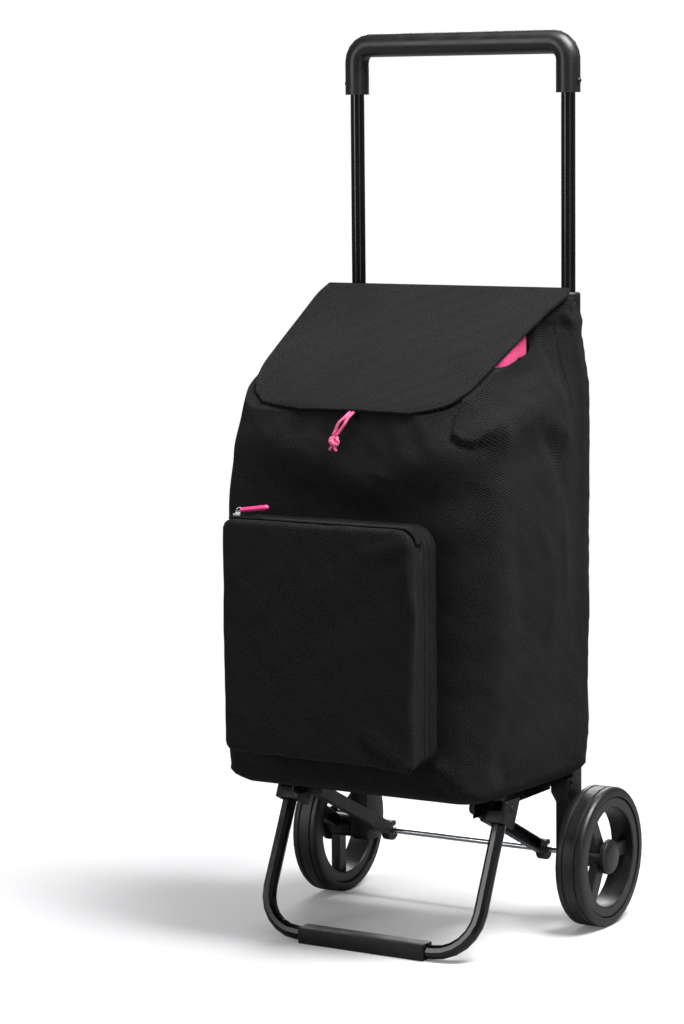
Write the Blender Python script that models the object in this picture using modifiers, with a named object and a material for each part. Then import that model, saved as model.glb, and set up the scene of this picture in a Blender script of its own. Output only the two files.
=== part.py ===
"""Two-wheeled shopping trolley with a folding platform, a folding foot and a soft bag.

Metres, +Z up, the front faces -Y. The origin is on the floor, in the middle of the outline.
"""
import math

import bmesh
import bpy
from mathutils import Matrix, Vector

GAP = 0.0003                      # clearance between touching pieces
TUBE_X = 0.137                    # half the distance between the two uprights
TUBE_Y = 0.103                    # plane of the uprights; other depths are measured from it

HANDLE_R, HANDLE_BORE = 0.0080, 0.0067
HANDLE_FOOT, HANDLE_TOP = 0.470, 0.988
GRIP_R, GRIP_AXIS_Z, GRIP_FOOT_Z, GRIP_BEND = 0.0137, 1.0003, 0.944, 0.0195
GRIP_SCREW_Z = 0.957

FRAME_R, FRAME_BORE = 0.0090, 0.00835
FRAME_FOOT, FRAME_TOP = 0.128, 0.700
COLLAR_R, COLLAR_FOOT, COLLAR_TOP, BUTTON_Z = 0.0135, 0.690, 0.722, 0.712

AXLE_R, AXLE_Y, AXLE_Z, AXLE_HALF = 0.0035, TUBE_Y + 0.004, 0.080, 0.1862
WHEEL_R, TYRE_BORE, TYRE_IN, TYRE_OUT = 0.080, 0.0694, 0.1575, 0.1905
RIM_R, RIM_BORE, RIM_IN, RIM_OUT = 0.0690, 0.0570, 0.1605, 0.1893
HUB_R, HUB_IN, HUB_OUT, HUB_BORE = 0.0135, 0.1500, 0.1835, 0.0038
CAP_R, CAP_OUT = 0.0200, 0.1920

BRACKET_WIDTH = 0.022
HINGE_Y, HINGE_Z, PIN_R, PIN_HOLE = TUBE_Y - 0.016, 0.165, 0.0030, 0.0033

PLATE_X, PLATE_TOP, PLATE_SHEET, LIP_FOOT = 0.118, 0.172, 0.002, 0.154
PLATE_FRONT, PLATE_REAR = TUBE_Y - 0.188, TUBE_Y - 0.030

PIVOT_Y, PIVOT_Z, LEG_X, LEG_R = TUBE_Y - 0.156, 0.162, 0.136, 0.008
FOOT_Y, FOOT_Z, FOOT_BEND = TUBE_Y - 0.228, 0.0095, 0.048
PAD_HALF, PAD_DEPTH, PAD_HEIGHT = 0.081, 0.021, 0.0187
STRUT_IN, STRUT_OUT, STRUT_HALF, FORK_R = 0.098, 0.108, 0.0072, 0.0118
STRUT_Y, STRUT_Z = TUBE_Y - 0.157, 0.159

LEAN = -0.015                     # sideways set of the bag's front against its back
BAG_FOOT, BAG_WALL = 0.1752, 0.0025
RIM_FRONT_Z, RIM_REAR_Z = 0.592, 0.716
BAG_BACK, BAG_RIM_FRONT = TUBE_Y - 0.0142, TUBE_Y - 0.228
POCKET_FRONT, POCKET_TOP, POCKET_FOOT = TUBE_Y - 0.290, 0.482, 0.228
POCKET_LEFT, POCKET_RIGHT = -0.141, 0.097
ZIP_Y, SLIDER_X = POCKET_FRONT + 0.0185, -0.131
FLAP_REAR, FLAP_FRONT = (TUBE_Y - 0.020, 0.728), (TUBE_Y - 0.225, 0.603)
FLAP_SHEET, FLAP_HALF, FLAP_CORNER = 0.0035, 0.151, 0.072

parts = bpy.data.collections.new("shopping_trolley")
cutters = bpy.data.collections.new("cutters")
SIDES = (("left", -1), ("right", 1))


# ---------------------------------------------------------------- helpers
def clear_scene():
    for old in list(bpy.data.objects):
        bpy.data.objects.remove(old, do_unlink=True)
    bpy.context.scene.collection.children.link(parts)
    bpy.context.scene.collection.children.link(cutters)


def material(name, colour, roughness, metallic=0.0):
    found = bpy.data.materials.get(name) or bpy.data.materials.new(name)
    found.use_nodes = True
    shader = found.node_tree.nodes["Principled BSDF"]
    shader.inputs["Base Color"].default_value = (*colour, 1)
    shader.inputs["Roughness"].default_value = roughness
    shader.inputs["Metallic"].default_value = metallic
    found.diffuse_color = (*colour, 1)
    return found


def black_paint():
    return material("black_paint", (0.012, 0.012, 0.013), 0.22, 0.0)


def black_plastic():
    return material("black_plastic", (0.020, 0.020, 0.022), 0.45)


def wheel_plastic():
    return material("wheel_plastic", (0.045, 0.045, 0.048), 0.50)


def tyre_rubber():
    return material("tyre_rubber", (0.050, 0.050, 0.052), 0.70)


def zinc():
    return material("zinc", (0.72, 0.73, 0.74), 0.28, 1.0)


def black_fabric():
    return material("black_fabric", (0.024, 0.024, 0.026), 0.85)


def pink_fabric():
    return material("pink_fabric", (0.85, 0.08, 0.25), 0.80)


def pink_plastic():
    return material("pink_plastic", (0.90, 0.10, 0.32), 0.40)


def pink_cord():
    return material("pink_cord", (0.92, 0.30, 0.48), 0.85)


def fibre_board():
    return material("fibre_board", (0.10, 0.09, 0.08), 0.80)


def add(name, data, finish, place=(0, 0, 0), turn=(0, 0, 0)):
    """A named sub-part, or a tool for one when it has no finish."""
    thing = bpy.data.objects.new(name, data)
    thing.location, thing.rotation_euler = place, turn
    (parts if finish else cutters).objects.link(thing)
    if finish:
        data.materials.append(finish)
    else:
        thing.hide_render, thing.display_type = True, "WIRE"
    return thing


def from_bmesh(name, shape, finish, **where):
    bmesh.ops.recalc_face_normals(shape, faces=shape.faces)
    mesh = bpy.data.meshes.new(name)
    shape.to_mesh(mesh)
    shape.free()
    return add(name, mesh, finish, **where)


def block(name, low, high, finish=None, turn=(0, 0, 0)):
    shape = bmesh.new()
    bmesh.ops.create_cube(shape, size=1)
    size = Vector(high) - Vector(low)
    bmesh.ops.scale(shape, vec=size, verts=shape.verts)
    return from_bmesh(name, shape, finish, place=(Vector(low) + Vector(high)) / 2, turn=turn)


def rod(name, radius, length, finish=None, place=(0, 0, 0), turn=(0, 0, 0), sides=24):
    """A cylinder along its own Z, centred on its place."""
    shape = bmesh.new()
    bmesh.ops.create_cone(shape, cap_ends=True, segments=sides, radius1=radius, radius2=radius,
                          depth=length)
    thing = from_bmesh(name, shape, finish, place=place, turn=turn)
    smooth(thing)
    return thing


def smooth(thing, angle=35):
    thing.data.shade_smooth()
    thing.data.set_sharp_from_angle(angle=math.radians(angle))


def turned(name, profile, finish, place=(0, 0, 0), turn=(0, 0, 0), steps=24, closed=True):
    """A profile of (radius, height) points turned about the object's own Z."""
    shape = bmesh.new()
    points = [shape.verts.new((r, 0, z)) for r, z in profile]
    pairs = list(zip(points, points[1:]))
    if closed:
        pairs.append((points[-1], points[0]))
    for a, b in pairs:
        shape.edges.new((a, b))
    mesh = bpy.data.meshes.new(name)
    shape.to_mesh(mesh)
    shape.free()
    thing = add(name, mesh, finish, place=place, turn=turn)
    screw = thing.modifiers.new("turn", "SCREW")
    screw.axis, screw.steps, screw.render_steps = "Z", steps, steps
    screw.use_merge_vertices, screw.merge_threshold = True, 0.00001
    screw.use_smooth_shade = True
    return thing


def boolean(thing, other, kind):
    change = thing.modifiers.new(kind.lower(), "BOOLEAN")
    change.operation, change.object, change.solver = kind, other, "EXACT"
    return thing


def cut(thing, other):
    return boolean(thing, other, "DIFFERENCE")


def join(thing, other):
    return boolean(thing, other, "UNION")


def soften(thing, width, segments=2, angle=30):
    bevel = thing.modifiers.new("bevel", "BEVEL")
    bevel.width, bevel.segments = width, segments
    bevel.limit_method, bevel.angle_limit = "ANGLE", math.radians(angle)
    return thing


def outline_x(name, points, x_low, x_high, finish=None):
    """An outline of (Y, Z) points, made as thick as from x_low to x_high."""
    curve = bpy.data.curves.new(name, "CURVE")
    curve.dimensions, curve.fill_mode, curve.extrude = "2D", "BOTH", (x_high - x_low) / 2
    line = curve.splines.new("POLY")
    line.points.add(len(points) - 1)
    for spot, (y, z) in zip(line.points, points):
        spot.co = (y, z, 0, 1)
    line.use_cyclic_u = True
    # the curve's own X, Y and Z become the world's Y, Z and X
    frame = Matrix(((0, 0, 1, (x_low + x_high) / 2), (1, 0, 0, 0), (0, 1, 0, 0), (0, 0, 0, 1)))
    return curve_to_mesh(name, curve, frame, finish)


def curve_to_mesh(name, curve, frame, finish):
    guide = bpy.data.objects.new(name + "_guide", curve)
    cutters.objects.link(guide)
    bpy.context.view_layer.update()
    seen = guide.evaluated_get(bpy.context.evaluated_depsgraph_get())
    mesh = bpy.data.meshes.new_from_object(seen)
    bpy.data.objects.remove(guide, do_unlink=True)
    mesh.transform(frame)
    shape = bmesh.new()
    shape.from_mesh(mesh)
    bmesh.ops.remove_doubles(shape, verts=shape.verts, dist=0.00001)
    bmesh.ops.recalc_face_normals(shape, faces=shape.faces)
    shape.to_mesh(mesh)
    shape.free()
    mesh.materials.clear()
    return add(name, mesh, finish)


def bent_rod(name, points, radius, finish=None, resolution=5, capped=True):
    """A round bar along a line of points."""
    curve = bpy.data.curves.new(name, "CURVE")
    curve.dimensions, curve.bevel_depth = "3D", radius
    curve.bevel_resolution, curve.use_fill_caps = resolution, capped
    line = curve.splines.new("POLY")
    line.points.add(len(points) - 1)
    for spot, point in zip(line.points, points):
        spot.co = (*point, 1)
    thing = curve_to_mesh(name, curve, Matrix.Identity(4), finish)
    smooth(thing)
    return thing


def arc(centre, start, sweep, count):
    """Points round a centre: start is the first spoke, sweep is (second spoke, angle)."""
    across, angle = sweep
    steps = [angle * i / count for i in range(count + 1)]
    return [centre + start * math.cos(a) + across * math.sin(a) for a in steps]


def arch(half, leg_foot, top, bend, down, count=5):
    """A round-cornered arch in the plane of X and down, from one leg's end to the other's."""
    x = Vector((1, 0, 0))
    corner = top + down * bend
    first = arc(corner - x * (half - bend), -x * bend, (-down * bend, math.pi / 2), count)
    second = arc(corner + x * (half - bend), -down * bend, (x * bend, math.pi / 2), count)
    ends = [leg_foot - x * half, leg_foot + x * half]
    return [ends[0], *first, *second, ends[1]]


# ---------------------------------------------------------------- handle
def handle_tube(word, side):
    tube = turned(f"handle_tube_{word}",
                  [(HANDLE_R, HANDLE_TOP), (HANDLE_R, HANDLE_FOOT),
                   (HANDLE_BORE, HANDLE_FOOT), (HANDLE_BORE, HANDLE_TOP)],
                  black_paint(), place=(side * TUBE_X, TUBE_Y, 0))
    hole = rod(f"screw_hole_{word}", 0.0019, 0.008, turn=(0, math.pi / 2, 0),
               place=(side * (TUBE_X + HANDLE_R), TUBE_Y, GRIP_SCREW_Z), sides=12)
    return cut(tube, hole)


def grip():
    down = Vector((0, 0, -1))
    line = arch(TUBE_X, Vector((0, TUBE_Y, GRIP_FOOT_Z)), Vector((0, TUBE_Y, GRIP_AXIS_Z)),
                GRIP_BEND, down)
    bar = bent_rod("grip", line, GRIP_R, black_plastic(), resolution=4)
    for word, side in SIDES:
        bore_top = HANDLE_TOP + GAP
        bore = rod(f"grip_bore_{word}", HANDLE_R + GAP, 2 * (bore_top - GRIP_FOOT_Z),
                   place=(side * TUBE_X, TUBE_Y, GRIP_FOOT_Z))
        cut(bar, bore)
        hole = rod(f"grip_hole_{word}", 0.0019, 0.012, turn=(0, math.pi / 2, 0),
                   place=(side * (TUBE_X + GRIP_R), TUBE_Y, GRIP_SCREW_Z), sides=12)
        cut(bar, hole)
    return bar


def grip_screw(word, side):
    head = GRIP_R + GAP
    return turned(f"grip_screw_{word}",
                  [(0, head + 0.0020), (0.0020, head + 0.0016), (0.0036, head), (0.0016, head),
                   (0.0016, 0.0045), (0, 0.0045)],
                  black_plastic(), place=(side * TUBE_X, TUBE_Y, GRIP_SCREW_Z),
                  turn=(0, side * math.pi / 2, 0), steps=16, closed=False)


# ---------------------------------------------------------------- uprights
def frame_tube(word, side):
    return turned(f"frame_tube_{word}",
                  [(FRAME_R, FRAME_TOP), (FRAME_R, FRAME_FOOT),
                   (FRAME_BORE, FRAME_FOOT), (FRAME_BORE, FRAME_TOP)],
                  black_paint(), place=(side * TUBE_X, TUBE_Y, 0))


def tube_collar(word, side):
    step = FRAME_TOP + GAP
    collar = turned(f"tube_collar_{word}",
                    [(COLLAR_R - 0.002, COLLAR_TOP), (COLLAR_R, COLLAR_TOP - 0.002),
                     (COLLAR_R, COLLAR_FOOT + 0.001), (COLLAR_R - 0.001, COLLAR_FOOT),
                     (FRAME_R + GAP, COLLAR_FOOT), (FRAME_R + GAP, step),
                     (HANDLE_R + GAP, step), (HANDLE_R + GAP, COLLAR_TOP)],
                    black_plastic(), place=(side * TUBE_X, TUBE_Y, 0))
    hole = rod(f"button_hole_{word}", 0.0033, 0.010, turn=(math.pi / 2, 0, 0),
               place=(side * TUBE_X, TUBE_Y + 0.0125, BUTTON_Z), sides=20)
    return cut(collar, hole)


def lock_button(word, side):
    return turned(f"lock_button_{word}",
                  [(0, 0.0178), (0.0030, 0.0174), (0.0045, 0.0162), (0.0045, 0.0153),
                   (0.0030, 0.0153), (0.0030, 0.0101), (0, 0.0101)],
                  black_plastic(), place=(side * TUBE_X, TUBE_Y, BUTTON_Z),
                  turn=(-math.pi / 2, 0, 0), steps=20, closed=False)


def rear_bracket(word, side):
    edge = [(-0.0115, 0.072), (-0.0115, 0.140), (-0.0240, 0.154), (-0.0240, 0.1725),
            (-0.0115, 0.1725), (-0.0115, 0.196), (0.0115, 0.196), (0.0115, 0.150),
            (0.0260, 0.136), (0.0260, 0.084), (0.0170, 0.066), (-0.0060, 0.066)]
    low, high = TUBE_X - BRACKET_WIDTH / 2, TUBE_X + BRACKET_WIDTH / 2
    ends = sorted((side * low, side * high))
    body = outline_x(f"rear_bracket_{word}", [(TUBE_Y + y, z) for y, z in edge], *ends,
                     black_plastic())
    soften(body, 0.0013)
    cut(body, rod(f"upright_socket_{word}", FRAME_R + GAP, 0.10,
                  place=(side * TUBE_X, TUBE_Y, FRAME_FOOT - GAP + 0.05)))
    cut(body, rod(f"axle_hole_{word}", AXLE_R + GAP, 0.05, turn=(0, math.pi / 2, 0),
                  place=(side * TUBE_X, AXLE_Y, AXLE_Z)))
    cut(body, rod(f"hinge_hole_{word}", PIN_HOLE, 0.05, turn=(0, math.pi / 2, 0),
                  place=(side * TUBE_X, HINGE_Y, HINGE_Z), sides=20))
    return body


def hinge_pin(word, side):
    return turned(f"hinge_pin_{word}",
                  [(0, 0.1460), (PIN_R, 0.1460), (PIN_R, 0.1257), (0.0060, 0.1257),
                   (0.0060, PLATE_X + GAP), (PIN_R, PLATE_X + GAP), (PIN_R, 0.1157),
                   (0.0055, 0.1157), (0.0050, 0.1137), (0, 0.1130)],
                  zinc(), place=(0, HINGE_Y, HINGE_Z), turn=(0, side * math.pi / 2, 0),
                  steps=20, closed=False)


# ---------------------------------------------------------------- wheels
def axle():
    half, edge = AXLE_HALF, 0.0008
    return turned("axle", [(0, half), (AXLE_R - edge, half), (AXLE_R, half - edge),
                           (AXLE_R, edge - half), (AXLE_R - edge, -half), (0, -half)],
                  zinc(), place=(0, AXLE_Y, AXLE_Z), turn=(0, math.pi / 2, 0), steps=24,
                  closed=False)


def ring(name, side, profile, finish, steps=24):
    """A turned ring round the axle; heights are distances from the middle of the trolley."""
    return turned(name, profile, finish, place=(0, AXLE_Y, AXLE_Z),
                  turn=(0, side * math.pi / 2, 0), steps=steps)


def axle_washer(word, side):
    inner, outer = 0.1484, 0.1496
    return ring(f"axle_washer_{word}", side,
                [(0.008, outer), (0.008, inner), (AXLE_R + GAP, inner), (AXLE_R + GAP, outer)],
                zinc(), steps=24)


def axle_clip(word, side):
    inner, outer = HUB_OUT + 0.0004, HUB_OUT + 0.0014
    return ring(f"axle_clip_{word}", side,
                [(0.0065, outer), (0.0072, inner), (AXLE_R + GAP, inner), (AXLE_R + GAP, outer)],
                zinc(), steps=24)


def tyre_profile():
    """The tread's section: flat side walls, round shoulders and two grooves."""
    middle, half, shoulder = (TYRE_IN + TYRE_OUT) / 2, (TYRE_OUT - TYRE_IN) / 2, 0.0045
    groove, wide, deep = 0.0075, 0.0013, 0.0016
    side = [(TYRE_BORE, half), (WHEEL_R - shoulder, half)]
    turn_points = [(WHEEL_R - shoulder + shoulder * math.sin(a), half - shoulder * (1 - math.cos(a)))
                   for a in (math.radians(35), math.radians(65), math.radians(90))]
    tread = [(WHEEL_R, groove + wide), (WHEEL_R - deep, groove), (WHEEL_R, groove - wide)]
    upper = side + turn_points + tread
    lower = [(r, -z) for r, z in reversed(upper)]
    return [(r, z + middle) for r, z in upper + lower]


def tyre(word, side):
    return ring(f"tyre_{word}", side, tyre_profile(), tyre_rubber(), steps=40)


def rim(word, side, first_spoke):
    """The wheel's body: an outer ring, three spokes and a long hub."""
    edge = 0.0012
    body = ring(f"rim_{word}", side,
                [(RIM_R - edge, RIM_OUT), (RIM_R, RIM_OUT - edge), (RIM_R, RIM_IN + edge),
                 (RIM_R - edge, RIM_IN), (RIM_BORE + edge, RIM_IN), (RIM_BORE, RIM_IN + edge),
                 (RIM_BORE, RIM_OUT - edge), (RIM_BORE + edge, RIM_OUT)],
                wheel_plastic(), steps=36)
    hub = ring(f"hub_{word}", side,
               [(HUB_R, HUB_OUT), (HUB_R, HUB_IN + 0.001), (HUB_R - 0.001, HUB_IN),
                (HUB_BORE, HUB_IN), (HUB_BORE, HUB_OUT)], None, steps=20)
    for number in range(3):
        angle = math.radians(first_spoke + 120 * number)
        inner, outer = HUB_R - 0.003, RIM_BORE + 0.004
        reach = (inner + outer) / 2
        spoke = block(f"spoke_{word}_{number}", (-0.006, -(outer - inner) / 2, -0.0083),
                      (0.006, (outer - inner) / 2, 0.0083), turn=(angle, 0, 0))
        spoke.location = (side * 0.1745, AXLE_Y + reach * math.cos(angle),
                          AXLE_Z + reach * math.sin(angle))
        soften(spoke, 0.0015, segments=1)
        join(body, spoke)
    join(body, hub)
    bore = rod(f"hub_bore_{word}", HUB_BORE, 0.08, turn=(0, math.pi / 2, 0),
               place=(side * 0.167, AXLE_Y, AXLE_Z))
    return cut(body, bore)


def hub_cap(word, side):
    foot = HUB_OUT + GAP
    return turned(f"hub_cap_{word}",
                  [(0, CAP_OUT), (CAP_R - 0.006, CAP_OUT), (CAP_R - 0.002, CAP_OUT - 0.0015),
                   (CAP_R, CAP_OUT - 0.004), (CAP_R, foot), (0.0090, foot),
                   (0.0090, CAP_OUT - 0.003), (0, CAP_OUT - 0.003)],
                  wheel_plastic(), place=(0, AXLE_Y, AXLE_Z), turn=(0, side * math.pi / 2, 0),
                  steps=24, closed=False)


# ---------------------------------------------------------------- platform and foot
def platform_plate():
    """A pressed sheet with a lip turned down at each side; the lips' rear ends are hinge ears."""
    outer = block("platform_plate", (-PLATE_X, PLATE_FRONT, LIP_FOOT),
                  (PLATE_X, TUBE_Y - 0.009, PLATE_TOP), black_paint())
    inner = PLATE_X - PLATE_SHEET
    cut(outer, block("plate_underside", (-inner, PLATE_FRONT - 0.01, LIP_FOOT - 0.01),
                     (inner, TUBE_Y, PLATE_TOP - PLATE_SHEET)))
    cut(outer, block("plate_notch", (-inner, PLATE_REAR, PLATE_TOP - 0.01),
                     (inner, TUBE_Y, PLATE_TOP + 0.01)))
    for word, side in SIDES:
        cut(outer, rod(f"plate_hole_{word}", PIN_HOLE, 0.01, turn=(0, math.pi / 2, 0),
                       place=(side * PLATE_X, HINGE_Y, HINGE_Z), sides=20))
    return outer


def front_bracket(word, side):
    """A tilted housing, open above, below and behind, in which the leg turns on its pin."""
    edge = [(-0.0212, -0.0122), (-0.0108, 0.0095), (0.0201, 0.0095), (0.0042, -0.0240)]
    ends = sorted((side * (PLATE_X + GAP), side * 0.148))
    body = outline_x(f"front_bracket_{word}",
                     [(PIVOT_Y + y, PIVOT_Z + z) for y, z in edge], *ends, black_plastic())
    soften(body, 0.0012)
    tilt = math.radians(-25)
    inside = block(f"leg_room_{word}", (-0.0087, -0.0107, -0.05), (0.0087, 0.05, 0.05),
                   turn=(tilt, 0, 0))
    shift = Matrix.Rotation(tilt, 3, "X") @ Vector((0, 0.0393 / 2, 0))
    inside.location = Vector((side * LEG_X, PIVOT_Y, PIVOT_Z)) + shift
    cut(body, inside)
    window = block(f"leg_window_{word}", (-0.0062, -0.02, -0.0115), (0.0062, 0.0, 0.004),
                   turn=(tilt, 0, 0))
    shift = Matrix.Rotation(tilt, 3, "X") @ Vector((0, -0.010, 0.001))
    window.location = Vector((side * LEG_X, PIVOT_Y, PIVOT_Z)) + shift
    cut(body, window)
    cut(body, rod(f"pivot_hole_{word}", PIN_HOLE, 0.05, turn=(0, math.pi / 2, 0),
                  place=(side * 0.14, PIVOT_Y, PIVOT_Z), sides=20))
    return body


def foot_pin(word, side):
    return turned(f"foot_pin_{word}",
                  [(0, 0.1506), (0.0030, 0.1502), (0.0048, 0.1484), (PIN_R, 0.1484),
                   (PIN_R, 0.1215), (0, 0.1215)],
                  zinc(), place=(0, PIVOT_Y, PIVOT_Z), turn=(0, side * math.pi / 2, 0),
                  steps=20, closed=False)


def foot_tube():
    """A bent steel tube: two legs from the pivots and one rail along the floor."""
    foot, pivot = Vector((0, FOOT_Y, FOOT_Z)), Vector((0, PIVOT_Y, PIVOT_Z))
    up = (pivot - foot).normalized()
    line = arch(LEG_X, pivot + up * 0.0060, foot, FOOT_BEND, up, count=6)
    tube = bent_rod("foot_tube", line, LEG_R, black_paint(), resolution=3, capped=False)
    wall = tube.modifiers.new("wall", "SOLIDIFY")
    wall.thickness, wall.offset = 0.0014, -1
    for word, side in SIDES:
        cut(tube, rod(f"leg_hole_{word}", PIN_HOLE, 0.03, turn=(0, math.pi / 2, 0),
                      place=(side * LEG_X, PIVOT_Y, PIVOT_Z), sides=20))
    return tube


def foot_pad():
    pad = block("foot_pad", (-PAD_HALF, FOOT_Y - PAD_DEPTH / 2, 0),
                (PAD_HALF, FOOT_Y + PAD_DEPTH / 2, PAD_HEIGHT), black_plastic())
    soften(pad, 0.0015)
    return cut(pad, rod("pad_bore", LEG_R + GAP, 0.3, turn=(0, math.pi / 2, 0),
                        place=(0, FOOT_Y, FOOT_Z), sides=20))


def strut(word, side):
    """A channel-shaped arm with a fork that snaps over the axle from the front."""
    head, fork = Vector((STRUT_Y, STRUT_Z)), Vector((AXLE_Y, AXLE_Z))
    along = (fork - head).normalized()
    across = Vector((-along.y, along.x))
    slope = math.atan2(along.y, along.x)
    count = 8
    nose = [head + STRUT_HALF * (Vector((math.cos(a), math.sin(a))))
            for a in (slope + math.pi / 2 + math.pi * i / count for i in range(count + 1))]
    tail = [fork - across * STRUT_HALF, fork + across * STRUT_HALF]
    ends = sorted((side * STRUT_IN, side * STRUT_OUT))
    arm = outline_x(f"strut_{word}", [tuple(p) for p in nose + tail], *ends, black_plastic())
    # the fork turns about the platform's hinge as it comes off the axle, so its mouth points that way
    spoke = fork - Vector((HINGE_Y, HINGE_Z))
    mouth = Vector((-spoke.y, spoke.x)).normalized()
    mouth_slope = math.atan2(mouth.y, mouth.x)
    sweep = math.radians(52)
    jaw = [fork + FORK_R * Vector((math.cos(a), math.sin(a)))
           for a in (mouth_slope + sweep + (2 * math.pi - 2 * sweep) * i / 20 for i in range(21))]
    join(arm, outline_x(f"jaw_{word}", [tuple(p) for p in jaw], *ends))
    half = AXLE_R + 0.0012
    slot = block(f"slot_{word}", (-0.05, 0, -half), (0.05, 0.03, half), turn=(mouth_slope, 0, 0))
    slot.location = (side * 0.103, AXLE_Y + mouth.x * 0.015, AXLE_Z + mouth.y * 0.015)
    cut(arm, rod(f"fork_hole_{word}", AXLE_R + GAP, 0.05, turn=(0, math.pi / 2, 0),
                 place=(side * 0.103, AXLE_Y, AXLE_Z)))
    cut(arm, slot)
    length = (fork - head).length
    centre = head + along * length / 2
    recess = block(f"recess_{word}", (-0.0035, -length / 2 + 0.010, -STRUT_HALF + 0.0022),
                   (0.0035, length / 2 - 0.020, STRUT_HALF - 0.0022), turn=(slope, 0, 0))
    shift = along * -0.005
    recess.location = (side * (STRUT_OUT - 0.0034), centre.x + shift.x, centre.y + shift.y)
    cut(arm, recess)
    return cut(arm, rod(f"strut_hole_{word}", PIN_HOLE, 0.05, turn=(0, math.pi / 2, 0),
                        place=(side * 0.103, STRUT_Y, STRUT_Z), sides=20))


def strut_rivet(word, side):
    return turned(f"strut_rivet_{word}",
                  [(0, 0.1157), (0.0052, 0.1157), (0.0052, STRUT_OUT + GAP),
                   (PIN_R, STRUT_OUT + GAP), (PIN_R, STRUT_IN - GAP),
                   (0.0048, STRUT_IN - GAP), (0.0030, STRUT_IN - 0.0022), (0, STRUT_IN - 0.0026)],
                  zinc(), place=(0, STRUT_Y, STRUT_Z), turn=(0, side * math.pi / 2, 0),
                  steps=20, closed=False)


# ---------------------------------------------------------------- bag
def lean_at(y):
    """Sideways set of the bag at a depth: none at the uprights, all of it at the pocket's front."""
    return LEAN * min(1.0, max(0.0, (TUBE_Y - y) / 0.235))


def round_rectangle(half, front, back, front_bend, back_bend, count=5):
    """Points round a bag section, counter-clockwise from its front left corner's left end."""
    corners = ((-half + front_bend, front + front_bend, front_bend, 180),
               (half - front_bend, front + front_bend, front_bend, 270),
               (half - back_bend, back - back_bend, back_bend, 0),
               (-half + back_bend, back - back_bend, back_bend, 90))
    points = []
    for x, y, bend, start in corners:
        angles = [math.radians(start + 90 * i / count) for i in range(count + 1)]
        points += [(x + bend * math.cos(a), y + bend * math.sin(a)) for a in angles]
    return points


def rim_height(y):
    """Height of the bag's sloping mouth at a depth."""
    share = (y - BAG_RIM_FRONT) / (BAG_BACK - BAG_RIM_FRONT)
    return RIM_FRONT_Z + (RIM_REAR_Z - RIM_FRONT_Z) * share


def shell(name, levels, back, back_bend, wall, finish, closed_foot):
    """A sewn shell through (share of height, half width, front, front bend) levels."""
    shape = bmesh.new()
    loops = []
    for share, half, front, front_bend in levels:
        loop = []
        for x, y in round_rectangle(half, front, back, front_bend, back_bend):
            z = BAG_FOOT + (rim_height(y) - BAG_FOOT) * share
            loop.append(shape.verts.new((x + lean_at(y), y, z)))
        loops.append(loop)
    for low, high in zip(loops, loops[1:]):
        for i in range(len(low)):
            j = (i + 1) % len(low)
            shape.faces.new((low[i], low[j], high[j], high[i]))
    if closed_foot:
        shape.faces.new(list(reversed(loops[0])))
    thing = from_bmesh(name, shape, finish)
    cloth = thing.modifiers.new("cloth", "SOLIDIFY")
    cloth.thickness, cloth.offset = wall, -1
    smooth(thing, 50)
    return thing


def bag_body():
    y = TUBE_Y
    levels = [(0.000, 0.138, y - 0.216, 0.030), (0.010, 0.147, y - 0.225, 0.034),
              (0.035, 0.152, y - 0.230, 0.038), (0.20, 0.156, y - 0.232, 0.040),
              (0.45, 0.159, y - 0.233, 0.042), (0.75, 0.161, y - 0.233, 0.044),
              (1.00, 0.159, y - 0.228, 0.046)]
    return shell("bag_body", levels, BAG_BACK, 0.014, BAG_WALL, black_fabric(), True)


def lining_collar():
    """The lining's collar, a sleeve inside the mouth that the drawstring gathers."""
    y = TUBE_Y
    levels = [(0.90, 0.1550, y - 0.2245, 0.042), (0.985, 0.1540, y - 0.2220, 0.042)]
    return shell("lining_collar", levels, BAG_BACK - 0.005, 0.012, 0.0012, pink_fabric(), False)


def base_board():
    """The stiff board on the bag's floor, narrow enough to fold up between the uprights."""
    half, foot = PLATE_X, BAG_FOOT + BAG_WALL + 0.0010
    return block("base_board", (-half, TUBE_Y - 0.205, foot), (half, TUBE_Y - 0.022, foot + 0.0025),
                 fibre_board())


def bag_sleeve(word, side):
    """The bag's rear corner, a long sleeve that the upright runs through."""
    ends = sorted((side * 0.121, side * 0.164))
    sleeve = block(f"bag_sleeve_{word}", (ends[0], TUBE_Y - 0.0138, 0.200),
                   (ends[1], TUBE_Y + 0.0135, 0.688), black_fabric())
    soften(sleeve, 0.005, segments=3)
    return cut(sleeve, rod(f"sleeve_bore_{word}", FRAME_R + GAP, 0.7,
                           place=(side * TUBE_X, TUBE_Y, 0.45)))


def pocket():
    """A boxy pocket on the bag's front, hollow, with the bag's own front as its back wall."""
    wall, back, past = BAG_WALL, TUBE_Y - 0.2336, 0.03
    body = block("pocket", (POCKET_LEFT, POCKET_FRONT, POCKET_FOOT),
                 (POCKET_RIGHT, back + past, POCKET_TOP), black_fabric())
    soften(body, 0.012, segments=3)
    room = block("pocket_room", (POCKET_LEFT + wall, POCKET_FRONT + wall, POCKET_FOOT + wall),
                 (POCKET_RIGHT - wall, back + 2 * past, POCKET_TOP - wall))
    soften(room, 0.0105, segments=3)
    cut(body, room)
    return cut(body, block("pocket_back", (-0.2, back, 0.1), (0.2, back + 3 * past, 0.6)))


def pocket_zip():
    return block("pocket_zip", (POCKET_LEFT + 0.006, ZIP_Y - 0.006, POCKET_TOP + GAP),
                 (POCKET_RIGHT - 0.014, ZIP_Y + 0.006, POCKET_TOP + 0.0016), black_plastic())


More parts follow.
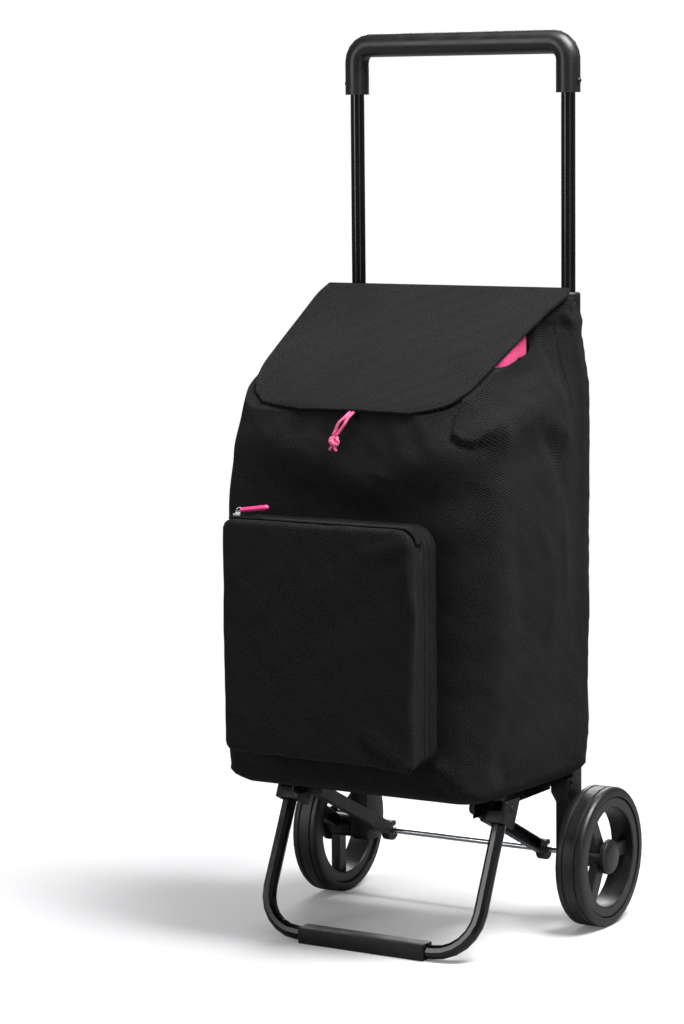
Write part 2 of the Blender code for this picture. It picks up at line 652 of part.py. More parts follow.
def zip_slider():
    x, z = SLIDER_X, POCKET_TOP + 0.0019
    slider = block("zip_slider", (x - 0.005, ZIP_Y - 0.0040, z), (x + 0.005, ZIP_Y + 0.0040, z + 0.0032),
                   zinc())
    soften(slider, 0.0008)
    bail = block("slider_bail", (x - 0.003, ZIP_Y - 0.0012, z + 0.002),
                 (x + 0.003, ZIP_Y + 0.0012, z + 0.0062))
    return join(slider, bail)


def zip_puller():
    """A moulded puller that lies along the zip from the slider's bail."""
    z, lift = POCKET_TOP + 0.0081, math.radians(8)
    line = [Vector((SLIDER_X + 0.004 + s * math.cos(lift), ZIP_Y, z + s * math.sin(lift)))
            for s in (0, 0.004, 0.016, 0.032, 0.036)]
    return bent_rod("zip_puller", line, 0.0026, pink_plastic(), resolution=2)


def flap_point(x, s):
    """A point of the flap's top: x across, s down its slope."""
    rear, front = Vector(FLAP_REAR), Vector(FLAP_FRONT)
    spot = rear + (front - rear).normalized() * s
    return Vector((x, spot.x, spot.y))


def flap():
    """The stiff lid: straight at its hinge, round at its two front corners."""
    length = (Vector(FLAP_FRONT) - Vector(FLAP_REAR)).length
    bend, half, centre = FLAP_CORNER, FLAP_HALF, -0.0135
    edge = [(-half + 0.003, 0.0), (-half, 0.010)]
    edge += [(-half + bend - bend * math.cos(a), length - bend + bend * math.sin(a))
             for a in (math.pi / 2 * i / 8 for i in range(9))]
    edge += [(half - bend + bend * math.sin(a), length - bend + bend * math.cos(a))
             for a in (math.pi / 2 * i / 8 for i in range(9))]
    edge += [(half, 0.010), (half - 0.003, 0.0)]
    shape = bmesh.new()
    face = shape.faces.new([shape.verts.new(flap_point(centre + x, s)) for x, s in edge])
    face.normal_update()
    if face.normal.z < 0:
        face.normal_flip()
    mesh = bpy.data.meshes.new("flap")
    shape.to_mesh(mesh)
    shape.free()
    lid = add("flap", mesh, black_fabric())
    sheet = lid.modifiers.new("sheet", "SOLIDIFY")
    sheet.thickness, sheet.offset = FLAP_SHEET, -1
    return lid


# the drawstring's two ends come out of the lining's hem, over the bag's mouth and down to a knot
CORD_R = 0.0019
KNOT = Vector((-0.0240, TUBE_Y - 0.2400, 0.5680))


def cord_route(start_x, mid_x, end_x):
    y = TUBE_Y
    return [Vector((start_x, y - 0.2040, 0.6075)), Vector((start_x, y - 0.2140, 0.6025)),
            Vector((start_x - 0.001, y - 0.2240, 0.5975)),
            Vector((mid_x + 0.005, y - 0.2325, 0.5935)), Vector((mid_x, y - 0.2375, 0.5870)),
            Vector((mid_x - 0.005, y - 0.2392, 0.5815)), Vector((end_x, KNOT.y, KNOT.z + 0.0082))]


def smooth_line(points, per_span=3):
    """Points along a smooth curve through the given ones."""
    padded = [2 * points[0] - points[1], *points, 2 * points[-1] - points[-2]]
    line = []
    for a, b, c, d in zip(padded, padded[1:], padded[2:], padded[3:]):
        for i in range(per_span):
            t = i / per_span
            line.append(0.5 * (2 * b + (c - a) * t + (2 * a - 5 * b + 4 * c - d) * t ** 2
                               + (3 * b - a - 3 * c + d) * t ** 3))
    return line + [points[-1]]


def drawstring(word, start_x, mid_x, end_x):
    return bent_rod(f"drawstring_{word}", smooth_line(cord_route(start_x, mid_x, end_x), 2),
                    CORD_R, pink_cord(), resolution=2)


def drawstring_knot():
    shape = bmesh.new()
    bmesh.ops.create_uvsphere(shape, u_segments=12, v_segments=8, radius=1)
    bmesh.ops.scale(shape, vec=(0.0058, 0.0048, 0.0068), verts=shape.verts)
    return from_bmesh("drawstring_knot", shape, pink_cord(),
                      place=KNOT + Vector((0, 0, -0.0004)))


# ---------------------------------------------------------------- the whole trolley
def build():
    clear_scene()
    grip()
    axle()
    platform_plate()
    foot_tube()
    foot_pad()
    for word, side in SIDES:
        handle_tube(word, side)
        grip_screw(word, side)
        frame_tube(word, side)
        tube_collar(word, side)
        lock_button(word, side)
        rear_bracket(word, side)
        hinge_pin(word, side)
        axle_washer(word, side)
        axle_clip(word, side)
        tyre(word, side)
        rim(word, side, {"left": 30, "right": 0}[word])
        hub_cap(word, side)
        front_bracket(word, side)
        foot_pin(word, side)
        strut(word, side)
        strut_rivet(word, side)
        bag_sleeve(word, side)
    bag_body()
    lining_collar()
    base_board()
    pocket()
    pocket_zip()
    zip_slider()
    zip_puller()
    flap()
    drawstring("left", -0.0085, -0.0185, KNOT.x - 0.0033)
    drawstring("right", -0.0025, -0.0115, KNOT.x + 0.0033)
    drawstring_knot()


build()
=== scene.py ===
"""Looks of a two-wheeled shopping trolley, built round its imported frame.

Metres, in the frame's own axes: +Z up, the bag's front faces -Y, +X is to the right seen from
the front. Depths are measured from TUBE_Y, the plane of the two uprights.
"""
import math

import bmesh
import bpy
import numpy as np
from mathutils import Euler, Matrix, Vector


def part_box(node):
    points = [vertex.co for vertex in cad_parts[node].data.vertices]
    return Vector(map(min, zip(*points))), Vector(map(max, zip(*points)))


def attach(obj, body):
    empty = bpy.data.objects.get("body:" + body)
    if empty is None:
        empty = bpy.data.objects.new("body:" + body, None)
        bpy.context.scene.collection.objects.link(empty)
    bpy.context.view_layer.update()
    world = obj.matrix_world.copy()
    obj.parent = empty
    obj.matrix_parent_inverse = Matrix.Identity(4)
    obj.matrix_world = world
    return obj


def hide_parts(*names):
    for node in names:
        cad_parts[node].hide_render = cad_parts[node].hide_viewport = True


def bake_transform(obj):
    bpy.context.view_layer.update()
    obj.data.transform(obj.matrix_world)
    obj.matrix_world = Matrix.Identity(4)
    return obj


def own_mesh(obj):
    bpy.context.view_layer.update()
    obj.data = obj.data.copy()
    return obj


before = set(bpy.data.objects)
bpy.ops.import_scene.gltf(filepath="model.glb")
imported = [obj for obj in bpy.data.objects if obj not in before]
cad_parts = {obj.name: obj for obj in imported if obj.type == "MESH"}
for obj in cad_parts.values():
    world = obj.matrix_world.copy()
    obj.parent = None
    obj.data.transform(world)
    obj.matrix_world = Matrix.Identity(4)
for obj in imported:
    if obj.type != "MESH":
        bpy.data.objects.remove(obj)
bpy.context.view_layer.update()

TUBE_X, TUBE_Y = 0.137, 0.103
BAG_FOOT, BAG_BACK, RIM_REAR_Z = 0.1752, TUBE_Y - 0.0142, 0.716
FRONT_Y = TUBE_Y - 0.234               # the bag's front, above the pocket
LEAN, LEAN_DEPTH = -0.015, 0.235       # sideways set of the bag's front, and its distance forward
FLAP_REAR, FLAP_FRONT = np.array((TUBE_Y - 0.02, 0.728)), np.array((TUBE_Y - 0.225, 0.603))
POCKET_FRONT, POCKET_BACK = TUBE_Y - 0.29, TUBE_Y - 0.23
MOUTH_CENTRE = np.array((-0.01, -0.02))
STITCH_PITCH, STITCH_LIFT = 0.0034, 0.0002
BAG_THICK, SLEEVE_THICK, FLAP_THICK, HINGE_THICK = 0.0016, 0.0014, 0.0034, 0.0012
LINING_THICK, TAPE_THICK = 0.0006, 0.0008
SIDES = (("left", -1), ("right", 1))


# ---- camera
def add_camera():
    """The photograph's view: a long lens from the front right, a little above the bag's top."""
    data = bpy.data.cameras.new("camera")
    data.lens, data.sensor_width = 114.1, 36.0
    data.clip_start, data.clip_end = 0.1, 50.0
    camera = bpy.data.objects.new("camera", data)
    azimuth, elevation, roll = 31.43, 7.07, -0.54
    turn = (Euler((0, 0, math.radians(azimuth))).to_matrix()
            @ Euler((math.radians(90 - elevation), 0, 0)).to_matrix()
            @ Euler((0, 0, math.radians(roll))).to_matrix())
    camera.matrix_world = Matrix.Translation((1.8171, -3.1373, 0.9273)) @ turn.to_4x4()
    bpy.context.scene.collection.objects.link(camera)
    bpy.context.scene.camera = camera


# ---- materials
class Recipe:
    """A material's node tree, written one node at a time."""

    def __init__(self, name):
        self.material = bpy.data.materials.new(name)
        self.material.use_nodes = True
        self.tree = self.material.node_tree
        self.shader = self.tree.nodes["Principled BSDF"]

    def feed(self, socket, value):
        if isinstance(value, bpy.types.NodeSocket):
            self.tree.links.new(value, socket)
        else:
            socket.default_value = value

    def add(self, kind, settings=None, **inputs):
        made = self.tree.nodes.new(kind)
        for key, value in (settings or {}).items():
            setattr(made, key, value)
        for key, value in inputs.items():
            self.feed(made.inputs[key], value)
        return made

    def math(self, operation, a, b=0.0):
        made = self.add("ShaderNodeMath", {"operation": operation})
        self.feed(made.inputs[0], a)
        self.feed(made.inputs[1], b)
        return made.outputs[0]

    def times(self, a, b):
        return self.math("MULTIPLY", a, b)

    def plus(self, a, b):
        return self.math("ADD", a, b)

    def sine(self, a, turn):
        return self.math("SINE", self.times(a, turn))

    def mix(self, factor, a, b):
        made = self.add("ShaderNodeMix", {"data_type": "RGBA"})
        self.feed(made.inputs[0], factor)
        self.feed(made.inputs[6], (*a, 1) if isinstance(a, tuple) else a)
        self.feed(made.inputs[7], (*b, 1) if isinstance(b, tuple) else b)
        return made.outputs[2]

    def ramp(self, value, low, high, out_low=0.0, out_high=1.0):
        made = self.add("ShaderNodeMapRange", {"interpolation_type": "SMOOTHSTEP"})
        for index, number in enumerate((value, low, high, out_low, out_high)):
            self.feed(made.inputs[index], number)
        return made.outputs[0]

    def noise(self, where, scale, detail=2.0, roughness=0.5):
        made = self.add("ShaderNodeTexNoise", Vector=where, Scale=scale, Detail=detail,
                        Roughness=roughness)
        return made.outputs[0]

    def bump(self, height, distance):
        made = self.add("ShaderNodeBump", Height=height, Distance=distance, Strength=1.0)
        self.feed(self.shader.inputs["Normal"], made.outputs[0])

    def set(self, **values):
        for key, value in values.items():
            self.feed(self.shader.inputs[key.replace("_", " ")], value)

    def cloth(self):
        """The piece's own cloth map, then its two directions apart."""
        cloth = self.add("ShaderNodeUVMap", {"uv_map": "cloth"}).outputs[0]
        split = self.add("ShaderNodeSeparateXYZ", Vector=cloth)
        return cloth, split.outputs[0], split.outputs[1]

    def place(self):
        return self.add("ShaderNodeTexCoord").outputs["Object"]


PATCHES = 0.3                          # how strongly a cloth's tone drifts from place to place


def fabric(name, low, high, pitch, depth, roughness=0.86, sheen=0.03, sheen_tint=(0.6, 0.6, 0.65)):
    """Twill: raised diagonal ribs crossed by finer threads, in the piece's own flat cloth. Its
    colour is painted lighter on the raised ribs and slubs as highlight and darker in the grooves as
    shade, and drifts in random patches.
    """
    recipe = Recipe(name)
    cloth, across, along = recipe.cloth()
    turn = 2 * math.pi / pitch
    rib = recipe.sine(recipe.plus(across, along), turn)
    thread, weft = recipe.sine(across, turn * 1.9), recipe.sine(along, turn * 1.9)
    slub = recipe.noise(cloth, 1.5 / pitch, 2.0, 0.8)
    patch = recipe.noise(cloth, 22.0, 4.0, 0.6)
    weave = recipe.plus(recipe.times(rib, 0.32), recipe.times(recipe.times(thread, weft), 0.3))
    height = recipe.plus(weave, recipe.times(slub, 2.0))
    blotch = recipe.times(recipe.math("SUBTRACT", patch, 0.5), PATCHES)
    # painted highlight and shade: the weave's relief lightens the ribs and darkens the grooves, plus
    # random patches
    weave_shade_and_patches = recipe.plus(recipe.times(height, 0.55), blotch)
    recipe.set(Base_Color=recipe.mix(recipe.ramp(weave_shade_and_patches, 0.36, 0.68), low, high))
    recipe.set(Roughness=recipe.ramp(patch, 0.2, 0.8, roughness - 0.06, roughness + 0.06))
    recipe.set(Sheen_Weight=sheen, Sheen_Roughness=0.5, Sheen_Tint=(*sheen_tint, 1))
    recipe.set(Specular_IOR_Level=0.12)
    recipe.bump(height, depth)
    return recipe.material


def moulded(name, colour, roughness, grain=0.00006, scale=1500.0, wear=0.06, specular=0.5):
    """Moulded plastic or rubber: a fine even grain, a few soft scuffs."""
    recipe = Recipe(name)
    place = recipe.place()
    fine = recipe.noise(place, scale, 2.0)
    scuff = recipe.noise(place, 38.0, 5.0, 0.7)
    lighter = tuple(min(1.0, c * 1.9 + 0.004) for c in colour)
    recipe.set(Base_Color=recipe.mix(recipe.ramp(scuff, 0.4, 0.8), colour, lighter))
    recipe.set(Roughness=recipe.ramp(scuff, 0.25, 0.75, roughness - wear, roughness + wear))
    recipe.set(Specular_IOR_Level=specular)
    recipe.bump(fine, grain)
    return recipe.material


def paint(name, colour, roughness):
    """Gloss powder coat: a faint orange peel under a clear coat."""
    recipe = Recipe(name)
    place = recipe.place()
    peel = recipe.noise(place, 420.0, 2.0)
    cloud = recipe.noise(place, 25.0, 3.0)
    lighter = tuple(c * 1.6 + 0.003 for c in colour)
    recipe.set(Base_Color=recipe.mix(cloud, colour, lighter))
    recipe.set(Roughness=recipe.ramp(cloud, 0.3, 0.7, roughness - 0.04, roughness + 0.05))
    recipe.set(Coat_Weight=0.2, Coat_Roughness=0.1, Specular_IOR_Level=0.35)
    recipe.bump(peel, 0.00005)
    return recipe.material


def plated(name, colour, roughness, stretch=(1.0, 1.0, 1.0)):
    """Plated steel: fine drawn lines and a slightly cloudy plating."""
    recipe = Recipe(name)
    place = recipe.place()
    mapping = recipe.add("ShaderNodeMapping", Vector=place)
    mapping.inputs["Scale"].default_value = stretch
    lines = recipe.noise(mapping.outputs[0], 900.0, 2.0)
    cloud = recipe.noise(place, 60.0, 3.0)
    darker = tuple(c * 0.72 for c in colour)
    recipe.set(Base_Color=recipe.mix(cloud, darker, colour), Metallic=1.0)
    recipe.set(Roughness=recipe.ramp(lines, 0.3, 0.7, roughness - 0.06, roughness + 0.08))
    recipe.bump(lines, 0.00003)
    return recipe.material


def braid(name, first, second):
    """Round hot pink braid with a lighter pink painted on its strands' crowns as highlight; the
    piece's cloth map runs round it and along it, in turns.
    """
    recipe = Recipe(name)
    _, turns, run = recipe.cloth()
    left = recipe.sine(recipe.plus(turns, run), 4 * math.pi)
    right = recipe.sine(recipe.math("SUBTRACT", turns, run), 4 * math.pi)
    over = recipe.times(left, right)
    # painted highlight: lighter pink on the strands' crowns, the cord's own pink in the gaps between
    # them
    crown_highlight = recipe.ramp(recipe.math("MAXIMUM", left, right), 0.3, 0.95)
    recipe.set(Base_Color=recipe.mix(crown_highlight, first, second))
    recipe.set(Roughness=recipe.ramp(over, -1.0, 1.0, 0.75, 0.9))
    recipe.set(Sheen_Weight=0.3, Sheen_Roughness=0.4)
    recipe.bump(recipe.plus(over, recipe.math("MAXIMUM", left, right)), 0.00035)
    return recipe.material


def board(name):
    """Pressed fibre board: a fine uneven fibre in two browns."""
    recipe = Recipe(name)
    place = recipe.place()
    fibre = recipe.noise(place, 260.0, 6.0, 0.7)
    recipe.set(Base_Color=recipe.mix(fibre, (0.05, 0.04, 0.035), (0.16, 0.13, 0.11)))
    recipe.set(Roughness=recipe.ramp(fibre, 0.2, 0.8, 0.7, 0.9))
    recipe.bump(fibre, 0.0002)
    return recipe.material


# each cloth's pair of colours runs from the painted shade in its weave's grooves to the painted
# highlight on its ribs
BLACK = (0.0004, 0.0004, 0.0004), (0.0148, 0.0148, 0.0152)
BLACK_CLOTH = fabric("black_cloth", *BLACK, 0.0035, 0.0004)
FLAP_CLOTH = fabric("flap_cloth", *BLACK, 0.0042, 0.00045)
TAPE_CLOTH = fabric("tape_cloth", (0.002, 0.002, 0.0022), (0.008, 0.008, 0.0085), 0.0012, 0.0002)
PINK_CLOTH = fabric("pink_cloth", (0.62, 0.028, 0.15), (0.95, 0.09, 0.29), 0.0007, 0.00012,
                    roughness=0.6, sheen=0.2, sheen_tint=(1.0, 0.7, 0.8))
PAINT = paint("black_paint", (0.001, 0.001, 0.0011), 0.16)
PLASTIC = moulded("black_plastic", (0.0042, 0.0042, 0.0045), 0.46, specular=0.4)
GRIP_PLASTIC = moulded("grip_plastic", (0.0062, 0.0062, 0.0065), 0.36, grain=0.00003)
WHEEL_PLASTIC = moulded("wheel_plastic", (0.0075, 0.0075, 0.0079), 0.36)
RUBBER = moulded("tyre_rubber", (0.006, 0.006, 0.0063), 0.42, grain=0.00012, scale=900.0)
ZINC = plated("zinc_plate", (0.8, 0.83, 0.86), 0.24, (0.02, 1.0, 1.0))
BLACK_STEEL = plated("black_steel", (0.045, 0.045, 0.05), 0.36)
PULLER_PINK = moulded("puller_pink", (0.86, 0.05, 0.215), 0.32, grain=0.00002, wear=0.03)
# the cord's hot pink, then a lighter pink for the painted highlight on its strands
CORD_BRAID = braid("cord_braid", (0.88, 0.045, 0.2), (0.95, 0.22, 0.4))
THREAD = moulded("black_thread", (0.004, 0.004, 0.0044), 0.6)
FIBRE_BOARD = board("fibre_board")


# ---- mesh tools
def unit(ways):
    """The same directions, each one metre long."""
    return ways / np.maximum(np.linalg.norm(ways, axis=-1, keepdims=True), 1e-12)


def distances(line):
    """How far along the line each of its points is."""
    return np.concatenate([[0], np.cumsum(np.linalg.norm(np.diff(line, axis=0), axis=1))])


def sample(at, places, values):
    """The line's values at some distances along it."""
    return np.stack([np.interp(at, places, column) for column in np.transpose(values)], -1)


def spaced_loop(points, count):
    """Evenly spaced points round a closed outline."""
    points = np.array([*points, points[0]])
    places = distances(points)
    return sample(np.linspace(0, places[-1], count, endpoint=False), places, points)


def link(name, mesh, material, body):
    """A finished piece that rides on one of the frame's bodies."""
    thing = bpy.data.objects.new(name, mesh)
    bpy.context.scene.collection.objects.link(thing)
    mesh.materials.clear()
    mesh.materials.append(material)
    if body:
        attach(thing, body)
    return thing


def sheet_mesh(name, rings, closed=True, caps=(False, False), flip=False, scale=(1.0, 1.0)):
    """Quads through rows of points, with a flat-cloth map in metres from the rows' own lengths.

    closed joins each row's end to its start, and caps close the first and the last row.
    """
    rings = np.asarray(rings, float)
    rows, count = rings.shape[:2]
    middle = rings[rows // 2]
    ahead = np.roll(middle, -1, axis=0) if closed else np.vstack([middle[1:], middle[-1:]])
    across = np.concatenate([[0], np.cumsum(np.linalg.norm(ahead - middle, axis=1))]) * scale[0]
    steps = np.linalg.norm(np.diff(rings, axis=0), axis=2).mean(axis=1)
    along = np.concatenate([[0], np.cumsum(steps)]) * scale[1]
    faces, places = [], []

    def add(face, place, turned):
        faces.append(face[::-1] if turned else face)
        places.extend(place[::-1] if turned else place)

    for i in range(rows - 1):
        for j in range(count if closed else count - 1):
            k = (j + 1) % count
            add([i * count + j, i * count + k, (i + 1) * count + k, (i + 1) * count + j],
                [(across[j], along[i]), (across[j + 1], along[i]),
                 (across[j + 1], along[i + 1]), (across[j], along[i + 1])], flip)
    points = list(rings.reshape(-1, 3))
    for row, wanted in zip((0, rows - 1), caps):
        if not wanted:
            continue
        centre = rings[row].mean(axis=0)
        points.append(centre)
        flat = int(np.argmin(np.ptp(rings[row], axis=0)))
        keep = [axis for axis in range(3) if axis != flat]
        spots = (rings[row] - centre)[:, keep]
        for j in range(count):
            k = (j + 1) % count
            add([row * count + k, row * count + j, len(points) - 1],
                [tuple(spots[k]), tuple(spots[j]), (0.0, 0.0)], (row > 0) != flip)
    mesh = bpy.data.meshes.new(name)
    mesh.from_pydata([tuple(p) for p in points], [], faces)
    layer = mesh.uv_layers.new(name="cloth")
    layer.data.foreach_set("uv", np.array(places, np.float32).ravel())
    mesh.shade_smooth()
    mesh.update()
    return mesh


def sheet(name, rings, material, body, slot, **shape):
    """A finished piece made of rows of points."""
    return link(name, sheet_mesh(name, rings, **shape), material, body)


def box_map(mesh):
    """The cloth map seen square on, from the side that each face turns to."""
    layer = mesh.uv_layers["cloth"]
    for face in mesh.polygons:
        facing = max(range(3), key=lambda axis: abs(face.normal[axis]))
        kept = [axis for axis in (0, 1, 2) if axis != facing]
        for corner in face.loop_indices:
            place = mesh.vertices[mesh.loops[corner].vertex_index].co
            layer.data[corner].uv = (place[kept[0]], place[kept[1]])


def apply_modifiers(thing):
    """The mesh as its modifiers make it, kept as the piece's own mesh."""
    bpy.context.view_layer.update()
    seen = thing.evaluated_get(bpy.context.evaluated_depsgraph_get())
    mesh = bpy.data.meshes.new_from_object(seen)
    thing.modifiers.clear()
    thing.data = mesh


def thicken(thing, thickness, offset=-1.0):
    """Gives a sheet its cloth's thickness: inwards, or to both sides with offset 0."""
    cloth = thing.modifiers.new("cloth", "SOLIDIFY")
    cloth.thickness, cloth.offset = thickness, offset
    apply_modifiers(thing)


def round_edges(thing, width, segments=2, sharp=40):
    edge = thing.modifiers.new("edge", "BEVEL")
    edge.width, edge.segments, edge.angle_limit = width, segments, math.radians(sharp)


def normals_of(rings, closed=True):
    """Outward directions at the points of a closed tube of rings, by differences."""
    if closed:
        across = np.roll(rings, -1, axis=1) - np.roll(rings, 1, axis=1)
    else:
        across = np.gradient(rings, axis=1)
    return unit(np.cross(across, np.gradient(rings, axis=0)))


def nearest(points, start, end):
    """Where on a straight line each point is nearest, as a share of it, and how far away."""
    run = np.subtract(end, start)
    share = np.clip(((points - np.array(start)) @ run) / (run @ run), 0, 1)
    return share, np.linalg.norm(points - np.array(start) - share[..., None] * run, axis=-1)


def crease(points, start, end, width, depth, fade=0.25):
    """How far a fold between two points lifts each point: depth on its line, none past its ends."""
    share, away = nearest(points, start, end)
    taper = np.minimum(1, np.minimum(share, 1 - share) / fade)
    return depth * np.exp(-(away / width) ** 2) * (0.25 + 0.75 * taper)


def creases(points, *folds):
    return sum(crease(points, *fold) for fold in folds)


def panel_creases(points, axis, place, *folds, fade=0.25):
    """Folds in an upright panel that faces along an axis.

    Each says where it starts and ends, across the panel and up, then its width and its depth.
    """
    across = 1 - axis
    total = 0
    for *ends, width, depth in folds:
        spots = np.full((2, 3), place)
        spots[:, (across, 2)] = np.reshape(ends, (2, 2))
        total = total + crease(points, *spots, width, depth, fade)
    return total


def ripple(points, length, seed):
    """Smooth irregular waves of about -1 to 1, the same on each run."""
    random, waves = np.random.default_rng(seed), 7
    total = np.zeros(points.shape[:-1])
    for _ in range(waves):
        way = random.normal(size=3)
        way *= random.uniform(0.6, 1.5) / np.linalg.norm(way)
        total += np.sin(points @ way * (2 * math.pi / length) + random.uniform(0, 2 * math.pi))
    return total / waves ** 0.5 / 1.4


def through(levels, at):
    """Smooth values through (place, value) levels."""
    places, values = (np.array(v, float) for v in zip(*levels))
    slopes = np.gradient(values, places)
    at = np.clip(np.asarray(at, float), places[0], places[-1])
    i = np.clip(np.searchsorted(places, at, side="right") - 1, 0, len(places) - 2)
    step = places[i + 1] - places[i]
    t = (at - places[i]) / step
    flat = np.sign(values[i + 1] - values[i]) == 0
    first, last = np.where(flat, 0, slopes[i]), np.where(flat, 0, slopes[i + 1])
    return ((1 + 2 * t) * (1 - t) ** 2 * values[i] + t * (1 - t) ** 2 * step * first
            + t * t * (3 - 2 * t) * values[i + 1] + t * t * (t - 1) * step * last)


def smooth_line(points, per_span=6):
    """Points along a smooth curve through the given ones."""
    points = [np.array(p, float) for p in points]
    padded = [2 * points[0] - points[1], *points, 2 * points[-1] - points[-2]]
    line = []
    for a, b, c, d in zip(padded, padded[1:], padded[2:], padded[3:]):
        for i in range(per_span):
            t = i / per_span
            line.append(0.5 * (2 * b + (c - a) * t + (2 * a - 5 * b + 4 * c - d) * t ** 2
                               + (3 * b - a - 3 * c + d) * t ** 3))
    return np.array(line + [points[-1]])


def tube_rings(line, radius, sides=12):
    """Rings round a line; radius is a number or one for each point."""
    line = np.asarray(line, float)
    ways = unit(np.gradient(line, axis=0))
    radii = np.broadcast_to(radius, len(line))
    side = np.cross(ways[0], (0, 0, 1) if abs(ways[0][2]) < 0.9 else (1, 0, 0))
    rings = []
    for spot, way, reach in zip(line, ways, radii):
        side = unit(side - way * (side @ way))
        up = np.cross(way, side)
        angles = np.arange(sides) * 2 * math.pi / sides
        rings.append([spot + reach * (side * math.cos(a) + up * math.sin(a)) for a in angles])
    return np.array(rings)


def piece_of(shape, name, material, body):
    """The finished piece that a bmesh makes."""
    mesh = bpy.data.meshes.new(name)
    shape.to_mesh(mesh)
    shape.free()
    mesh.shade_smooth()
    return link(name, mesh, material, body)


def stitches(name, line, normals, body, pitch=STITCH_PITCH):
    """A row of sewn stitches: one small lens of thread for each pitch of the line."""
    half_width = 0.00025
    places = distances(line)
    shape = bmesh.new()
    for start in np.arange(0, places[-1] - pitch, pitch):
        near, far = sample(start + pitch * np.array((0.12, 0.88)), places, line)
        up = unit(sample(start, places, normals))
        side = np.cross(up, unit(far - near)) * half_width
        middle = (near + far) / 2 + up * STITCH_LIFT
        corners = [near - up * 0.0001, far - up * 0.0001, middle + side, middle - side,
                   middle + up * half_width]
        a, b, c, d, top = (shape.verts.new(tuple(p)) for p in corners)
        for trio in ((a, c, top), (c, b, top), (b, d, top), (d, a, top), (a, b, c), (b, a, d)):
            shape.faces.new(trio)
    bmesh.ops.recalc_face_normals(shape, faces=shape.faces)
    return piece_of(shape, name, THREAD, body)


# ---- drawstring
KNOT = np.array((-0.0245, TUBE_Y - 0.241, 0.568))
CORD_R = 0.0017


def cord_route(start_x, mid_x, end_x):
    """From the hem's eyelet, out under the flap's edge and down to the knot."""
    y = TUBE_Y
    return [(start_x, y - 0.204, 0.6075), (start_x, y - 0.214, 0.6025),
            (start_x, y - 0.225, 0.5985), (start_x, y - 0.2345, 0.5945),
            (mid_x, y - 0.239, 0.588), ((mid_x + end_x) / 2, y - 0.2396, 0.5815),
            (end_x, KNOT[1], KNOT[2] + 0.007)]


def braided(name, line, radius):
    """A length of braid, mapped in turns: once round, and once for each pitch along."""
    pitch = 0.0042
    return sheet(name, tube_rings(line, radius), CORD_BRAID, "frame", "pink_cord",
                 caps=(True, True), scale=(1 / (2 * math.pi * radius), 1 / pitch))


def drawstring():
    """Two braided ends out of the hem, and the knot that joins them, with its two tips."""
    ends = []
    for word, numbers in (("left", (-0.015, -0.0205, KNOT[0] - 0.002)),
                          ("right", (-0.0108, -0.0125, KNOT[0] + 0.0024))):
        line = smooth_line(cord_route(*numbers), 5)
        piece = braided(f"drawstring_{word}_braid", line, CORD_R)
        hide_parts(f"drawstring_{word}")
        ends.append((piece, line, float(distances(line)[-1])))
    turns = np.linspace(0.3, 2 * math.pi + 0.5, 26)
    sin, cos, sin2, cos2 = np.sin(turns), np.cos(turns), np.sin(2 * turns), np.cos(2 * turns)
    loops = [KNOT + np.stack(loop, 1) for loop in (
        (0.0044 * sin, 0.002 * cos2, 0.0012 + 0.0042 * cos),
        (0.0042 * cos, 0.0034 * sin - 0.001, 0.0018 * sin2 - 0.001),
        (0.002 * sin2, 0.003 * cos, 0.005 * sin - 0.0006))]
    tips = [smooth_line(KNOT + np.array(tip), 5) for tip in (
        ((-0.001, -0.001, -0.003), (-0.003, -0.003, -0.0065), (-0.0048, -0.0025, -0.0088)),
        ((0.001, -0.001, -0.003), (0.002, -0.0032, -0.0068), (0.0034, -0.0022, -0.0098)))]
    knots = [braided(f"drawstring_knot_{number}", line, CORD_R * (1.25 if number < 3 else 0.95))
             for number, line in enumerate([*loops, *tips])]
    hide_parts("drawstring_knot")
    return [piece for piece, _, _ in ends] + knots


# ---- bag
def lean_at(y):
    """How far sideways the bag is set at a depth."""
    return LEAN * np.clip((TUBE_Y - y) / LEAN_DEPTH, 0, 1)


def flap_height(y):
    """Height of the flap's top over a depth."""
    share = (y - FLAP_FRONT[0]) / (FLAP_REAR[0] - FLAP_FRONT[0])
    return FLAP_FRONT[1] + (FLAP_REAR[1] - FLAP_FRONT[1]) * share


def rim_right(y):
    """The mouth's height on the right: it hugs the flap, then dips where the lining shows."""
    return through([(-0.135, 0.5955), (-0.118, 0.5985), (-0.08, 0.622), (-0.05, 0.6425),
                    (-0.042, 0.644), (0.000, 0.655), (0.022, 0.662), (0.027, 0.665),
                    (0.0315, 0.675), (0.036, 0.687), (0.043, 0.695), (0.062, 0.7055),
                    (BAG_BACK, RIM_REAR_Z)], y)


def rim_left(y):
    """The mouth's height on the left, which hugs the flap all the way."""
    return through([(-0.135, 0.595), (-0.118, 0.598), (-0.08, 0.622), (-0.02, 0.656),
                    (0.05, 0.696), (BAG_BACK, RIM_REAR_Z)], y)


